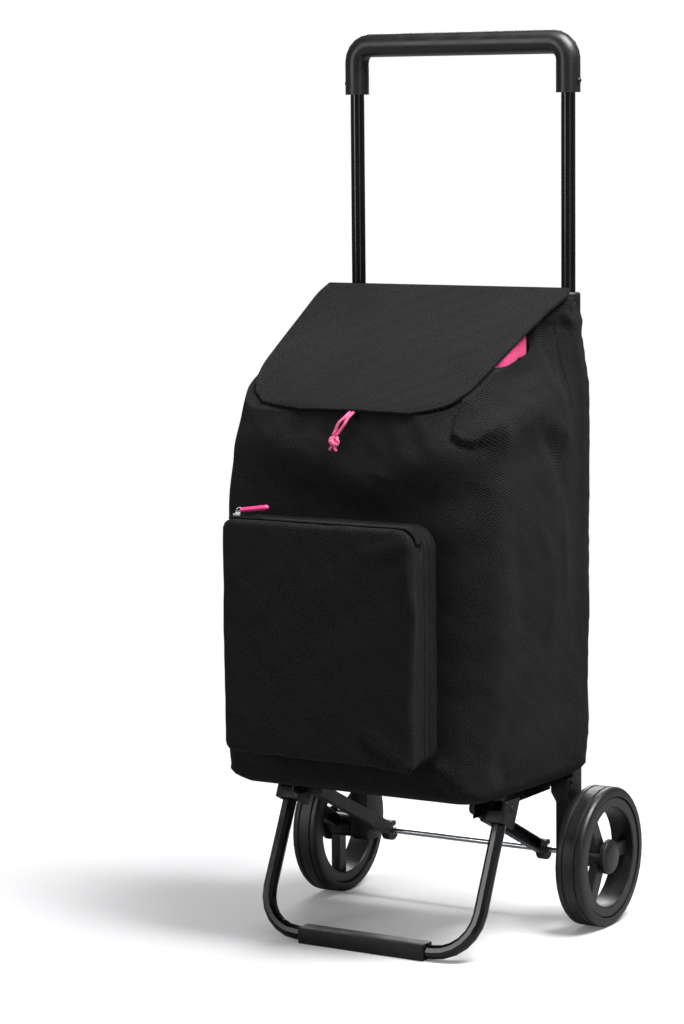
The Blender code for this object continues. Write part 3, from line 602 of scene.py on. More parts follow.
def section(t, inset=0.0):
    """Points round the bag at a share of its height, counter-clockwise seen from above."""
    count = 440
    half = side_half(t) - inset
    spread = 0.0085 * np.clip(1 - t / 0.3, 0, 1) * np.clip(t / 0.03, 0.35, 1)
    front = TUBE_Y - through([(0, 0.219), (0.012, 0.227), (0.05, 0.232), (0.2, 0.2335),
                              (0.6, 0.234), (0.84, 0.233), (0.93, 0.2285), (1, 0.2205)], t) + inset
    left_bend = through([(0, 0.018), (0.05, 0.02), (0.5, 0.024), (0.85, 0.028), (1, 0.044)], t)
    right_bend = through([(0, 0.026), (0.05, 0.034), (0.15, 0.048), (0.5, 0.054), (0.82, 0.05),
                          (0.9, 0.056), (1, 0.072)], t)
    back = BAG_BACK - inset
    corners = ((-half - spread + left_bend, front + left_bend, left_bend, 180),
               (half - right_bend, front + right_bend, right_bend, 270),
               (half - 0.004, back - 0.004, 0.004, 0), (-half + 0.004, back - 0.004, 0.004, 90))
    points = []
    for x, y, bend, start in corners:
        for i in range(13):
            angle = math.radians(start + 90 * i / 12)
            points.append((x + bend * math.cos(angle), y + bend * math.sin(angle)))
    return spaced_loop(points, count)


def side_half(t):
    """Half the bag's width at a share of its height."""
    return through([(0, 0.149), (0.012, 0.156), (0.05, 0.1605), (0.2, 0.1625), (0.45, 0.164),
                    (0.75, 0.164), (0.88, 0.1625), (1, 0.158)], t)


def shoulder(x, y, z):
    """How far the bag's top leans in on its right, above a line that rises to the back."""
    line = 0.56 + 0.27 * np.clip(y + 0.13, 0, 0.3)
    share = np.clip((z - line) / 0.07, 0, 1)
    side = np.clip((x - 0.05) / 0.06, 0, 1)
    rear = 1 - 0.75 * np.clip((y - 0.045) / 0.04, 0, 1)
    return 0.0225 * (1 - (1 - share) ** 1.4) * side * rear


CORNER_FOLD = ((0.149, 0.613), (0.133, 0.595), (0.1235, 0.577), (0.137, 0.5686), (0.154, 0.5656),
               (0.181, 0.5705), (0.228, 0.5794), (0.299, 0.597), (0.333, 0.612))


def corner_fold(points):
    """Lift where the side's cloth folds over the front's, below the flap's right end.

    The fold's line runs in the unrolled corner: how far round it, and how high.
    """
    spots = np.stack([points[..., 0] + points[..., 1] - FRONT_Y, points[..., 2]], -1)
    line = np.array(CORNER_FOLD)
    near = np.full(spots.shape[:-1], 1.0)
    for a, b in zip(line, line[1:]):
        near = np.minimum(near, nearest(spots, a, b)[1])
    border = np.vstack([line, (0.333, 0.72), (0.149, 0.72)])
    inside = np.zeros(near.shape, bool)
    for a, b in zip(border, np.roll(border, -1, axis=0)):
        spans = (a[1] > spots[..., 1]) != (b[1] > spots[..., 1])
        slope = (b[0] - a[0]) / (b[1] - a[1]) if a[1] != b[1] else 0.0
        inside ^= spans & (spots[..., 0] < a[0] + slope * (spots[..., 1] - a[1]))
    strength = np.clip((0.215 - spots[..., 0]) / 0.06, 0, 1)
    soft = 0.0032 + 0.011 * (1 - strength)
    rise = np.clip(near / soft, 0, 1) * np.exp(-np.clip(near - soft, 0, 1) / 0.02)
    groove = -0.5 * np.exp(-(near / (0.006 + soft)) ** 2)
    return 0.0058 * np.where(inside, rise, groove) * (0.45 + 0.55 * strength)


def dip_share(x, y):
    """1 where the mouth's right side dips and shows the lining, 0 elsewhere."""
    return np.exp(-np.abs((y + 0.004) / 0.039) ** 6) * np.clip((x - 0.08) / 0.02, 0, 1)


def bag_rings(shares, inset=0.0):
    """The bag's plain form, without its folds: a row of points at each share of its height."""
    rings = []
    for t in shares:
        loop = section(t, inset=inset)
        x, y = loop[:, 0], loop[:, 1]
        right = np.clip((x + 0.06) / 0.12, 0, 1)
        top = rim_left(y) * (1 - right) + rim_right(y) * right
        z = BAG_FOOT + (top - BAG_FOOT) * t
        rings.append(np.stack([x + lean_at(y) - shoulder(x, y, z), y, z], 1))
    return np.array(rings)


def fold_map(points):
    """Lift of the cloth at each point of the bag: soft bulges, the shoulder's folds, puckers."""
    x, y, z = points[..., 0], points[..., 1], points[..., 2]
    lift = 0.0014 * ripple(points, 0.16, 4) + 0.0006 * ripple(points, 0.06, 9)
    front = np.clip((-0.1 - y) / 0.02, 0, 1)
    lift += corner_fold(points)
    # the roll of cloth that the facet rises from, its hollow under the lining, and the arch
    lift += creases(
        points, ((0.13, -0.112, 0.574), (0.152, -0.055, 0.586), 0.02, 0.0085, 0.4),
        ((0.15, -0.065, 0.582), (0.158, 0.04, 0.612), 0.022, 0.0095, 0.4),
        ((0.15, -0.08, 0.54), (0.16, 0.03, 0.56), 0.02, -0.0035, 0.4),
        ((0.122, -0.05, 0.628), (0.141, 0.026, 0.639), 0.01, -0.004),
        ((0.14, -0.01, 0.618), (0.15, 0.045, 0.65), 0.01, 0.0035),
        ((0.136, 0.05, 0.69), (0.146, 0.07, 0.704), 0.004, 0.003),
        ((0.146, 0.07, 0.704), (0.154, 0.084, 0.688), 0.004, 0.003),
        ((0.142, 0.06, 0.686), (0.151, 0.078, 0.688), 0.005, -0.003),
        ((0.158, 0.02, 0.59), (0.16, 0.06, 0.56), 0.01, 0.003),
        ((0.155, 0.000, 0.575), (0.16, 0.04, 0.535), 0.012, -0.003))
    # puckers that the drawstring pulls in the top of the front
    for top_x, low_x, low_z, width, size in (
            (-0.116, -0.146, 0.56, 0.013, 0.0022), (-0.078, -0.122, 0.545, 0.014, 0.0026),
            (-0.05, -0.074, 0.54, 0.012, 0.002), (-0.028, -0.04, 0.556, 0.009, 0.002),
            (0.004, 0.026, 0.552, 0.011, 0.0024), (0.03, 0.066, 0.548, 0.013, 0.0026),
            (0.06, 0.092, 0.568, 0.01, 0.0022)):
        top, low = (top_x, -0.122, 0.602), (low_x, FRONT_Y, low_z)
        lift += crease(points, top, low, width, size, 0.6)
        lift += crease(points, np.add(top, (width * 1.3, 0, 0)), np.add(low, (width, 0, 0.012)),
                       width * 0.8, -size * 0.8, 0.6)
    # short slanting wrinkles between them
    lift += panel_creases(
        points, 1, FRONT_Y, (-0.136, 0.575, -0.095, 0.56, 0.006, 0.0016),
        (-0.07, 0.566, -0.04, 0.572, 0.006, 0.0014), (0.036, 0.566, 0.074, 0.548, 0.006, 0.002),
        (0.01, 0.536, 0.058, 0.528, 0.006, 0.0018), (-0.1, 0.528, -0.046, 0.52, 0.006, 0.0016),
        fade=0.5)
    # the front bulges over the pocket's top, lower in the middle than at the sides
    ledge = 0.56 - 0.03 * np.exp(-((x - 0.01) / 0.07) ** 2)
    reach = front * np.clip((x + 0.16) / 0.06, 0, 1)
    lift += 0.005 * reach * np.exp(-((z - ledge) / 0.022) ** 2)
    lift -= 0.004 * reach * np.exp(-((z - ledge + 0.045) / 0.024) ** 2)
    # side wrinkles near the upright, and the pull towards the bottom corners
    for side, x_side in ((-1, -0.168), (1, 0.155)):
        corner = (x_side - side * 0.02, -0.112, 0.186)
        lift += panel_creases(
            points, 0, x_side,
            (0.03, 0.64, 0.06, 0.56, 0.01, 0.0022), (-0.01, 0.48, 0.02, 0.42, 0.01, 0.0016),
            (0.03, 0.4, 0.01, 0.33, 0.009, 0.0015), (0.04, 0.3, 0.085, 0.315, 0.006, 0.0018),
            (0.035, 0.268, 0.085, 0.25, 0.006, -0.0018), (0.055, 0.225, 0.088, 0.245, 0.005, 0.0016),
            (-0.095, 0.215, -0.06, 0.26, 0.014, -0.0022), (0.02, 0.56, 0.06, 0.47, 0.012, -0.0024),
            (0.045, 0.5, 0.05, 0.38, 0.008, 0.0022), (-0.06, 0.48, -0.03, 0.33, 0.018, -0.0022))
        lift += creases(points, (corner, (x_side, -0.05, 0.215), 0.012, 0.004),
                        (corner, (x_side - side * 0.075, -0.128, 0.212), 0.012, 0.003))
    # a pull from the pocket's low right corner to the bag's
    lift += creases(
        points, ((0.098, FRONT_Y, 0.222), (0.137, -0.11, 0.184), 0.0065, 0.009, 0.1),
        ((0.12, -0.122, 0.23), (0.156, -0.06, 0.2), 0.015, -0.005),
        ((0.08, FRONT_Y, 0.205), (0.112, -0.128, 0.184), 0.009, -0.004))
    # a slight belly on the sides and back, none where the sleeves meet it
    belly = np.sin(np.clip((z - 0.2) / 0.42, 0, 1) * math.pi)
    side_share = np.clip(1 - ((y + 0.02) / 0.1) ** 2, 0, 1)
    lift += 0.0035 * belly * side_share * (1 - front)
    lift += 0.0003 * np.clip((z - 0.5) / 0.06, 0, 1) * front * ripple(points, 0.03, 21)
    edge = np.clip((BAG_BACK - y) / 0.012, 0, 1)
    foot = np.clip((z - BAG_FOOT) / 0.01, 0.15, 1)
    return lift * edge * foot


def lip(rim, reach):
    """The mouth's cloth turned in under the flap, except where the right side dips."""
    keep = 1 - dip_share(rim[:, 0], rim[:, 1])
    spot = rim[:, :2] + unit(MOUTH_CENTRE - rim[:, :2]) * (reach * keep)[:, None]
    under = flap_height(spot[:, 1]) - 0.0062
    share = min(1.0, reach / 0.008)
    z = rim[:, 2] * (1 - share * keep) + np.minimum(under, rim[:, 2] + 0.006) * share * keep
    return np.column_stack([spot, np.minimum(z, np.where(keep > 0.5, under, z))])


def bag_shell():
    """The bag's cloth, from its foot to the lip of its mouth; gives back the rows below the lip."""
    shares = np.concatenate([[0, 0.004, 0.01, 0.018, 0.03], np.linspace(0.045, 0.78, 70),
                             np.linspace(0.787, 1.0, 44)])
    rings = bag_rings(shares)
    rings = rings + normals_of(rings) * fold_map(rings)[..., None]
    turned_in = [lip(rings[-1], reach) for reach in (0.002, 0.005, 0.009, 0.014, 0.02)]
    shell = sheet("bag_shell", np.concatenate([rings, turned_in]), BLACK_CLOTH, None,
                  "black_fabric", caps=(True, False))
    thicken(shell, BAG_THICK)
    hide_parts("bag_body")
    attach(shell, "frame")
    return rings


def lining(shell_rings):
    """The pink lining: down the inside, over the rim's dip, and gathered by its drawstring."""
    inner = bag_rings(np.linspace(0.012, 0.9, 30), inset=0.011)
    wall = sheet("lining_wall", inner, PINK_CLOTH, "frame", "pink_fabric", flip=True)
    rim, centre = shell_rings[-1], MOUTH_CENTRE
    inward = unit(centre - rim[:, :2])
    dip = dip_share(rim[:, 0], rim[:, 1])

    def row(reach, z):
        return np.column_stack([rim[:, :2] + inward * np.asarray(reach)[:, None], z])

    under = flap_height(rim[:, 1]) - 0.006
    tucked = 0.018 * (1 - dip)
    foot = row(0.015 + tucked, rim[:, 2] - 0.05)
    neck = row(0.004 + tucked, rim[:, 2] - 0.01 * (1 - dip) - 0.002)
    peak_z = rim[:, 2] - 0.012 * (1 - dip) + (under + 0.003 - rim[:, 2]) * dip
    peak = row(0.0045 + tucked, peak_z)
    below_flap = np.minimum(peak[:, 2], flap_height(peak[:, 1]) - 0.012)
    peak[:, 2] = np.where(dip > 0.3, peak[:, 2], below_flap)
    angles = np.arctan2(rim[:, 1] - centre[1], rim[:, 0] - centre[0])
    # the hem's loop: wide at the sides, close to the rim in front
    hem_x = centre[0] + 0.095 * np.cos(angles)
    hem_y = centre[1] + np.where(np.sin(angles) < 0, 0.076, 0.062) * np.sin(angles)
    hem = np.stack([hem_x, hem_y, flap_height(hem_y) - 0.0175], 1)
    waves, gathers = np.arange(len(rim)) * 2 * math.pi / len(rim), 37
    pucker = np.sin(waves * gathers + 1.5 * np.sin(waves * 5)) * (0.7 + 0.3 * np.sin(waves * 11))
    rings = [foot, neck, peak * 0.6 + neck * 0.4, peak]
    for step in np.linspace(0.12, 1.0, 12):
        ring = peak * (1 - step) + hem * step
        sag = math.sin(step * math.pi) * 0.006
        ring[:, 2] = np.minimum(ring[:, 2] - sag, flap_height(ring[:, 1]) - 0.0085)
        ring[:, 2] += 0.003 * step ** 0.7 * (pucker - 1)
        rings.append(ring)
    rings = np.array(rings)
    gather = sheet("lining_gather", rings, PINK_CLOTH, None, "pink_fabric", flip=True)
    thicken(gather, LINING_THICK)
    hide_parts("lining_collar")
    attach(gather, "frame")
    loop = rings[-1] - (0, 0, 0.0005)
    swell = 0.0036 + 0.0007 * np.sin(np.append(waves, 0) * gathers)
    roll = tube_rings(np.vstack([loop, loop[:1]]), swell, sides=10)
    return [wall, gather, sheet("lining_hem", roll, PINK_CLOTH, "frame", "pink_fabric")]


def sleeve(word, side):
    """The bag's rear corner, sewn into a long tunnel round the upright."""
    levels = np.concatenate([[0.1765, 0.1785, 0.182], np.linspace(0.187, 0.655, 56),
                             np.linspace(0.66, 0.712, 20)])
    outline = [(-0.0006, -0.042), (0.0001, -0.03), (0.0006, -0.02), (0.0012, -0.012),
               (0.001, -0.003), (-0.003, 0.006), (-0.0085, 0.0112), (-0.0155, 0.0135),
               (-0.024, 0.0146), (-0.033, 0.0136), (-0.0395, 0.0098), (-0.0425, 0.003),
               (-0.0432, -0.006), (-0.0436, -0.015)]
    line = smooth_line(outline, 4)
    behind = np.clip((line[:, 1] + 0.002) / 0.014, 0, 1)
    rings = []
    for z in levels:
        y = TUBE_Y + line[:, 1]
        near = np.minimum(y, BAG_BACK)
        rim = rim_right(near) if side > 0 else rim_left(near)
        t = np.clip((z - BAG_FOOT) / (rim - BAG_FOOT), 0, 1)
        edge = side * side_half(t) + lean_at(near)
        foot = np.clip((0.19 - z) / 0.014, 0, 1) ** 2
        top = np.clip((z - 0.672) / 0.04, 0, 1)
        leaning = shoulder(np.full_like(y, TUBE_X), near, z) if side > 0 else 0
        x = edge + side * line[:, 0] - leaning
        middle = side * TUBE_X
        x = middle + (x - middle) * (1 - 0.3 * foot)
        outer = np.clip((side * x - 0.15) / 0.008, 0, 1)
        x = x - side * 0.0095 * top ** 1.5 * outer
        rings.append(np.stack([x, y - 0.004 * foot * behind, z - 0.013 * top * behind], 1))
    rings = np.array(rings)
    out = normals_of(rings, closed=False) * side
    lift = 0.0007 * ripple(rings, 0.07, 3 + side) + 0.0004 * ripple(rings, 0.02, 8 + side)
    lift *= np.clip((rings[..., 1] - BAG_BACK) / 0.008, 0, 1)
    lift += fold_map(rings)
    lift += 0.0016 * np.exp(-((rings[..., 2] - 0.69) / 0.006) ** 2)
    lift -= 0.0012 * np.exp(-((rings[..., 2] - 0.674) / 0.005) ** 2)
    ends = np.minimum(1, np.minimum(np.arange(rings.shape[1]), np.arange(rings.shape[1])[::-1]) / 4)
    rings = rings + out * (lift * ends)[..., None]
    piece = sheet(f"sleeve_{word}", rings, BLACK_CLOTH, None, "black_fabric", closed=False,
                  flip=side < 0)
    thicken(piece, SLEEVE_THICK)
    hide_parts(f"bag_sleeve_{word}")
    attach(piece, "frame")
    seam, normals = rings[:, -5], out[:, -5]
    stitches(f"sleeve_stitch_{word}_0", seam + normals * STITCH_LIFT, normals, "frame")


# ---- pocket
def pocket():
    """A soft box on the bag's front, with a pinched front edge and a zip over its top."""
    left, right, foot, top = -0.143, 0.0985, 0.2225, 0.482
    back, plane, count = POCKET_BACK, POCKET_FRONT, 192
    centre = np.array(((left + right) / 2, (foot + top) / 2))

    def row(y, shrink, bend):
        """The outline at a depth, drawn in by a distance; its top right corner is the roundest."""
        half = np.array(((right - left) / 2, (top - foot) / 2)) - shrink
        bend = min(bend, half.min())
        points = []
        for index, (sx, sz) in enumerate(((-1, -1), (1, -1), (1, 1), (-1, 1))):
            turn = min(bend * (1.9 if index == 2 else 1.0), half.min())
            for i in range(12):
                angle = math.radians(180 + 90 * index + 90 * i / 11)
                points.append((sx * (half[0] - turn) + turn * math.cos(angle),
                               sz * (half[1] - turn) + turn * math.sin(angle)))
        loop = spaced_loop(points, count) + centre
        return np.stack([loop[:, 0], np.full(count, y), loop[:, 1]], 1)

    depth, edge, gusset = back - plane, 0.0055, 0.9
    rings = [row(back - depth * share, 0.0015 * math.sin(share / gusset * math.pi),
                 0.014 - 0.003 * share) for share in np.linspace(0, gusset, 16)]
    rings += [row(plane + edge * (1 - math.sin(angle)), edge * (1 - math.cos(angle)), 0.011)
              for angle in np.linspace(0.3, math.pi / 2, 6)]
    rings += [row(plane, shrink, max(0.011, shrink * 0.35))
              for shrink in (*np.linspace(0.009, 0.03, 6), *np.linspace(0.036, 0.112, 18))]
    rings = np.array(rings)
    x, y, z = rings[..., 0], rings[..., 1], rings[..., 2]
    out = normals_of(rings)
    out *= -np.sign(out[..., 1].mean())
    face = np.clip((plane + 0.012 - y) / 0.012, 0, 1)
    across, up = (x - left) / (right - left), (z - foot) / (top - foot)
    swell = np.clip(4 * across * (1 - across), 0, 1) ** 0.6 * np.clip(4 * up * (1 - up), 0, 1) ** 0.6
    push = -0.0042 * face * (swell - 0.35)
    lift = 0.0007 * ripple(rings, 0.11, 31) + 0.0004 * ripple(rings, 0.04, 32)
    lift += panel_creases(
        rings, 1, plane,
        (0.094, 0.46, 0.098, 0.38, 0.0055, 0.0026), (0.098, 0.37, 0.092, 0.25, 0.0055, 0.0026),
        (0.084, 0.455, 0.087, 0.29, 0.009, -0.002), (0.04, 0.264, 0.096, 0.226, 0.0055, 0.0045),
        (0.03, 0.25, 0.086, 0.229, 0.0065, -0.0035), (0.03, 0.452, 0.098, 0.468, 0.007, 0.0022),
        (0.05, 0.438, 0.096, 0.455, 0.006, -0.0018), (-0.134, 0.44, -0.11, 0.4, 0.008, 0.0018),
        (-0.04, 0.33, 0.06, 0.36, 0.016, 0.0012), (-0.13, 0.27, -0.06, 0.24, 0.012, 0.0014))
    lift *= np.clip((back - 0.01 - y) / 0.01, 0, 1)
    rings = rings + out * lift[..., None]
    rings[..., 1] += push
    rings[..., 0] += 0.0026 * face * np.clip((across - 0.75) * 4, 0, 1) * ripple(rings, 0.07, 35)
    corner = np.exp(-(((x - right) / 0.03) ** 2 + ((z - foot) / 0.03) ** 2))
    front_share = np.clip((back - y) / depth, 0, 1)
    rings[..., 2] -= 0.006 * corner * front_share
    rings[..., 0] += lean_at(y) - LEAN
    shell = sheet("pocket_shell", rings, BLACK_CLOTH, None, "black_fabric", caps=(False, True),
                  flip=True)
    box_map(shell.data)
    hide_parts("pocket")
    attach(shell, "frame")
    pieces = [shell]
    # two seams round the pocket's side, each with a welt and its stitches
    for number, seam in enumerate((rings[5], rings[8])):
        line = np.vstack([seam, seam[:1]])
        way = unit((line - seam.mean(axis=0)) * (1, 0, 1)) * STITCH_LIFT
        pieces.append(stitches(f"pocket_stitch_{number}", line + way, unit(way), "frame"))
        pieces.append(sheet(f"pocket_welt_{number}", tube_rings(line - way, 0.0009, sides=6),
                            TAPE_CLOTH, "frame", "black_fabric"))
    return pieces


def zip_line():
    """Where the zip's teeth run: along the pocket's top, then a little down its right side."""
    y, z = POCKET_FRONT + 0.0185, 0.4838
    return smooth_line([(-0.139, y, z - 0.0012), (-0.131, y, z), (-0.06, y, z - 0.0002),
                        (0.03, y, z - 0.0002), (0.076, y, z), (0.088, y, z - 0.0012),
                        (0.0965, y, z - 0.0075), (0.1, y, z - 0.017)], 12)


def pocket_zip():
    """The zip: two woven tapes that stand a little proud, and the coil of teeth between them."""
    line, across = zip_line(), np.array((0.0, 1.0, 0.0))
    ways = unit(np.gradient(line, axis=0))
    up = np.cross(ways, across)
    up *= np.sign(up[len(up) // 3][2])
    pieces = []
    for number, (near, far) in enumerate(((-0.0078, -0.0012), (0.0012, 0.0078))):
        rows = [line + across * (near + (far - near) * share)
                + up * (0.0009 * math.sin(share * math.pi) - 0.0008)
                for share in np.linspace(0, 1, 7)]
        tape = sheet(f"zip_tape_{number}", rows, TAPE_CLOTH, None, "black_plastic", closed=False)
        thicken(tape, TAPE_THICK, offset=0)
        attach(tape, "frame")
        pieces.append(tape)
        edge = line + across * (near if number == 0 else far) * 0.8 + up * 0.0001
        pieces.append(stitches(f"zip_stitch_{number}", edge, up, "frame", 0.003))
    places, pitch = distances(line), 0.0016
    shape = bmesh.new()
    for number, at in enumerate(np.arange(0, places[-1], pitch / 2)):
        spot, way, over = (sample(at, places, values) for values in (line, ways, up))
        side = (0.0, 0.0006 if number % 2 else -0.0006, 0.0)
        turn = Matrix((way, (0, 1, 0), over)).transposed().to_4x4()
        where = Matrix.Translation(spot + side - over * 0.0002) @ turn
        bmesh.ops.create_uvsphere(shape, u_segments=6, v_segments=4, radius=1,
                                  matrix=where @ Matrix.Diagonal((0.00048, 0.0011, 0.0007, 1)))
    teeth = piece_of(shape, "zip_teeth", PLASTIC, "frame")
    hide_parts("pocket_zip")
    return pieces + [teeth]


def zip_slider():
    """The slider as the frame has it, kept as a piece of its own so that it follows the bag."""
    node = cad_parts["zip_slider"]
    mesh = node.data.copy()
    mesh.transform(node.matrix_world)
    slider = link("slider_shell", mesh, ZINC, None)
    round_edges(slider, 0.0004)
    apply_modifiers(slider)
    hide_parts("zip_slider")
    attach(slider, "zip_slider")
    return [slider]


def zip_puller():
    """A ring through the slider's bail and a moulded rod with a lengthwise groove."""
    low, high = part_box("zip_puller")
    y, lift = (low.y + high.y) / 2, math.radians(8)
    start = np.array((low.x - 0.001, y, low.z + 0.003))
    way = np.array((math.cos(lift), 0, math.sin(lift)))
    up = np.array((-math.sin(lift), 0, math.cos(lift)))
    places = [0.0000, 0.0006, 0.0016, 0.003, 0.006, 0.012, 0.024, 0.032, 0.035, 0.0364, 0.037]
    sizes = [0.0009, 0.0024, 0.0031, 0.0033, 0.0031, 0.0031, 0.0032, 0.0034, 0.0033, 0.0024, 0.0008]
    angles = np.arange(20)[:, None] * 2 * math.pi / 20
    girth = ((1 + 0.06 * np.cos(4 * angles))
             * (up * 0.85 * np.cos(angles) + np.array((0, 1, 0)) * np.sin(angles)))
    rings = [start + way * place + size * girth for place, size in zip(places, sizes)]
    rod = sheet("puller_rod", rings, PULLER_PINK, None, "pink_plastic", caps=(True, True))
    fine = rod.modifiers.new("fine", "SUBSURF")
    fine.levels = fine.render_levels = 1
    apply_modifiers(rod)
    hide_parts("zip_puller")
    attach(rod, "zip_puller")
    loop = [start + way * (-0.0012 + 0.0034 * math.cos(a)) + up * (0.0004 + 0.0028 * math.sin(a))
            for a in np.linspace(0, 2 * math.pi, 25)]
    wire = tube_rings(loop, 0.00055, sides=8)
    return [rod, sheet("puller_ring", wire, ZINC, "zip_puller", "zinc")]


# ---- flap
def flap():
    """The stiffened lid: straight at the back, round at the front, with a bound edge."""
    left = [(0, -0.165), (0.016, -0.169), (0.05, -0.17), (0.12, -0.17), (0.175, -0.167),
            (0.2, -0.159), (0.22, -0.144), (0.233, -0.122), (0.24, -0.08)]
    right = [(0, 0.149), (0.01, 0.152), (0.02, 0.15), (0.036, 0.145), (0.078, 0.136),
             (0.15, 0.123), (0.18, 0.118), (0.205, 0.11), (0.228, 0.09), (0.24, 0.06)]
    length = float(np.linalg.norm(FLAP_FRONT - FLAP_REAR))
    down = np.array((0, *(FLAP_FRONT - FLAP_REAR))) / length
    up = np.array((0, down[2], -down[1]))
    shares, columns = np.concatenate([np.linspace(0, 0.7, 36), np.linspace(0.712, 1, 36)]), 84
    rings = []
    for s in shares * length:
        low, high = through(left, s), through(right, s)
        t = np.linspace(0, 1, columns)
        x = low + (high - low) * t
        bow = 0.003 * math.sin(s / length * math.pi) * np.sin(t * math.pi)
        droop = -0.0022 * (s / length) ** 3 * (2 * t - 1) ** 2
        middle = np.array((0, *FLAP_REAR)) + down * s
        rings.append(middle + np.outer(x, (1, 0, 0)) + np.outer(bow + droop, up))
    rings = np.array(rings)
    lift = 0.0008 * ripple(rings, 0.2, 41) + 0.0003 * ripple(rings, 0.06, 42)
    lift += crease(rings, (0.128, -0.06, 0.64), (0.06, -0.02, 0.665), 0.02, 0.001)
    rings = rings + up * (lift * np.clip(shares * 8, 0, 1)[:, None])[..., None]
    lid = sheet("flap_cloth", rings, FLAP_CLOTH, None, "black_fabric", closed=False, flip=True)
    thicken(lid, FLAP_THICK)
    round_edges(lid, 0.0011, 3, 50)
    apply_modifiers(lid)
    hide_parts("flap")
    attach(lid, "flap")
    border = np.concatenate([rings[:, 0], rings[-1, 1:-1], rings[::-1, -1]])
    inside = np.cross(up, unit(np.gradient(border, axis=0)))
    inside *= np.sign((inside * (border.mean(axis=0) - border)).sum(axis=1).mean())
    hem = 0.0065
    seam = (border + inside * hem + up * STITCH_LIFT)[2:-2]
    stitches("flap_stitch", seam, np.tile(up, (len(seam), 1)), "flap")


def flap_hinge():
    """The strip of cloth that joins the flap's rear edge to the bag's back."""
    x = np.linspace(-0.15, 0.134, 40)
    spots = smooth_line([(0, BAG_BACK + 0.0012, 0.69), (0, BAG_BACK + 0.0016, 0.712),
                         (0, BAG_BACK - 0.0004, 0.7225), (0, FLAP_REAR[0] + 0.0005, 0.7262)], 6)
    rows = [np.outer(x, (1, 0, 0)) + spot for spot in spots]
    strip = sheet("flap_hinge", rows, BLACK_CLOTH, None, "black_fabric", closed=False)
    thicken(strip, HINGE_THICK, offset=0)
    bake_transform(strip)
    line = np.outer(x, (1, 0, 0)) + (0, BAG_BACK + 0.0024, 0.7)
    stitches("flap_hinge_stitch", line, np.tile((0.0, 1.0, 0.0), (len(x), 1)), "frame")


# ---- carried-over CAD nodes
def smooth_group():
    """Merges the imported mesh's doubled points and shades it smooth up to sharp edges."""
    doubled, sharp_turn = 0.000002, math.radians(32)
    group = bpy.data.node_groups.new("smooth_up_to_edges", "GeometryNodeTree")
    for way in ("INPUT", "OUTPUT"):
        group.interface.new_socket("Geometry", in_out=way, socket_type="NodeSocketGeometry")

    def add(kind, input_values=(), **settings):
        made = group.nodes.new(kind)
        for key, value in settings.items():
            setattr(made, key, value)
        for key, value in input_values:
            made.inputs[key].default_value = value
        return made

    chain = [add("NodeGroupInput"),
             add("GeometryNodeRemoveAttribute", [("Name", "custom_normal")]),
             add("GeometryNodeMergeByDistance", [("Distance", doubled)]),
             add("GeometryNodeSetShadeSmooth", domain="FACE"),
             add("GeometryNodeSetShadeSmooth", [("Shade Smooth", False)], domain="EDGE"),
             add("NodeGroupOutput")]
    for before, after in zip(chain, chain[1:]):
        group.links.new(before.outputs[0], after.inputs[0])
    angle = add("GeometryNodeInputMeshEdgeAngle")
    sharp = add("FunctionNodeCompare", [("B", sharp_turn)], operation="GREATER_THAN")
    group.links.new(angle.outputs["Unsigned Angle"], sharp.inputs["A"])
    group.links.new(sharp.outputs[0], chain[4].inputs["Selection"])
    return group


FINISHES = ((PAINT, ("handle_tube", "frame_tube", "platform_plate", "foot_tube")),
            (GRIP_PLASTIC, ("grip",)),
            (PLASTIC, ("grip_screw", "tube_collar", "lock_button", "rear_bracket", "front_bracket",
                       "strut", "foot_pad")),
            (WHEEL_PLASTIC, ("rim", "hub_cap")), (RUBBER, ("tyre",)),
            (ZINC, ("axle", "axle_clip", "axle_washer")),
            (BLACK_STEEL, ("hinge_pin", "foot_pin", "strut_rivet")),
            (FIBRE_BOARD, ("base_board",)))


def finish_frame():
    """Materials and smooth shading for the frame's own pieces, and softer edges on its plates."""
    group = smooth_group()
    finishes = {kind: material for material, kinds in FINISHES for kind in kinds}
    for name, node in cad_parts.items():
        if node.hide_render:
            continue
        kind = name.removesuffix("_left").removesuffix("_right")
        node.data.materials.clear()
        node.data.materials.append(finishes[kind])
        node.modifiers.new("smooth", "NODES").node_group = group
        if kind in ("rear_bracket", "front_bracket", "strut", "platform_plate"):
            round_edges(node, 0.0005)


# ---- studio
def floor_material():
    """A white floor that takes a shadow near the trolley and glows white further out.

    Only the camera sees it so: to every other ray it is a dull grey.
    """
    recipe = Recipe("studio_floor")

    def blend(factor, first, second):
        made = recipe.add("ShaderNodeMixShader")
        for socket, value in zip(made.inputs, (factor, first, second)):
            recipe.feed(socket, value)
        return made.outputs[0]

    length = recipe.add("ShaderNodeVectorMath", {"operation": "LENGTH"})
    recipe.feed(length.inputs[0], recipe.place())
    far = recipe.ramp(length.outputs["Value"], 0.4, 1.0, 0.1, 1.0)
    recipe.set(Base_Color=(0.76, 0.76, 0.77, 1), Roughness=0.9, Specular_IOR_Level=0.0)
    glow = recipe.add("ShaderNodeEmission", Color=(1, 1, 1, 1), Strength=1.0)
    dim = recipe.add("ShaderNodeBsdfDiffuse", Color=(0.3, 0.3, 0.31, 1))
    shown = blend(far, recipe.shader.outputs[0], glow.outputs[0])
    by_camera = recipe.add("ShaderNodeLightPath").outputs["Is Camera Ray"]
    output = recipe.tree.nodes["Material Output"]
    recipe.feed(output.inputs[0], blend(by_camera, dim.outputs[0], shown))
    return recipe.material


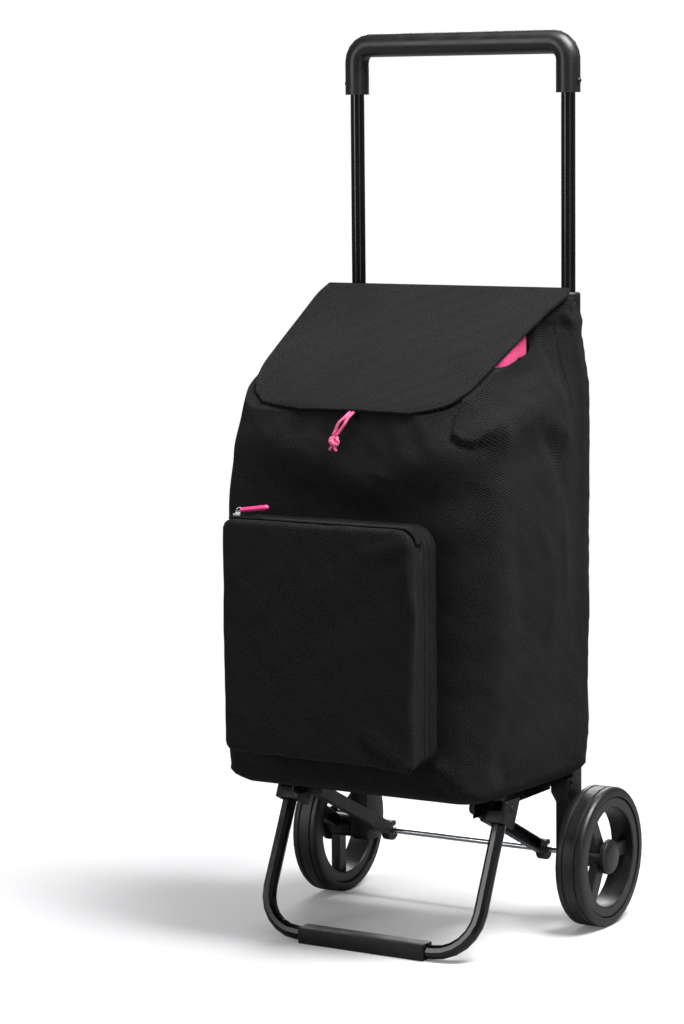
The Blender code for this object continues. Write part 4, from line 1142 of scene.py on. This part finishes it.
def studio():
    """The photograph's white room: a floor, a world that the camera sees as white, and lamps."""
    mesh, reach = bpy.data.meshes.new("floor"), 30.0
    corners = ((-1, -1), (1, -1), (1, 1), (-1, 1))
    mesh.from_pydata([(x * reach, y * reach, 0) for x, y in corners], [], [(0, 1, 2, 3)])
    floor = bpy.data.objects.new("floor", mesh)
    mesh.materials.append(floor_material())
    bpy.context.scene.collection.objects.link(floor)
    floor.location.z = -0.0002

    world = bpy.data.worlds.new("studio")
    bpy.context.scene.world = world
    world.use_nodes = True
    tree = world.node_tree
    seen, lit = tree.nodes["Background"], tree.nodes.new("ShaderNodeBackground")
    for sky, colour, strength in ((seen, (1, 1, 1, 1), 1.0), (lit, (0.96, 0.98, 1.0, 1), 0.2)):
        sky.inputs[0].default_value, sky.inputs[1].default_value = colour, strength
    mix, path = tree.nodes.new("ShaderNodeMixShader"), tree.nodes.new("ShaderNodeLightPath")
    tree.links.new(path.outputs["Is Camera Ray"], mix.inputs[0])
    tree.links.new(lit.outputs[0], mix.inputs[1])
    tree.links.new(seen.outputs[0], mix.inputs[2])
    tree.links.new(mix.outputs[0], tree.nodes["World Output"].inputs[0])

    for name, place, target, size, power in (
            ("key", (1.15, -0.05, 2.7), (0, 0, 0.45), (1.4, 1.4), 136.0),
            ("strip", (2.3, -1.4, 1.1), (0, 0, 0.5), (0.4, 1.8), 5.0),
            ("top", (0.1, -0.3, 2.9), (0, 0, 0.4), (1.8, 1.8), 16.0),
            ("fill", (-1.3, -2.6, 1.5), (0, 0, 0.5), (0.9, 1.8), 26.0),
            ("rear", (-1.2, 2.2, 1.6), (0, 0, 0.5), (1.4, 1.4), 34.0)):
        lamp = bpy.data.lights.new(name, "AREA")
        lamp.shape, (lamp.size, lamp.size_y), lamp.energy = "RECTANGLE", size, power
        thing = bpy.data.objects.new(name, lamp)
        way = Vector(target) - Vector(place)
        thing.location, thing.rotation_euler = place, way.to_track_quat("-Z", "Y").to_euler()
        bpy.context.scene.collection.objects.link(thing)
    bpy.context.scene.view_settings.view_transform = "Standard"


# ---- the whole trolley
def soften_to_fold(pieces):
    """Gives each soft piece a mesh of its own."""
    for piece in pieces:
        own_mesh(piece)


def build():
    """Every piece in order: the camera and the cords come first, the room last."""
    add_camera()
    soft = drawstring()
    rings = bag_shell()
    soft += [bpy.data.objects["bag_shell"], *lining(rings)]
    for word, side in SIDES:
        sleeve(word, side)
    soft += pocket()
    soft += pocket_zip()
    soft += zip_slider()
    soft += zip_puller()
    flap()
    flap_hinge()
    finish_frame()
    soften_to_fold(soft)
    studio()


build()
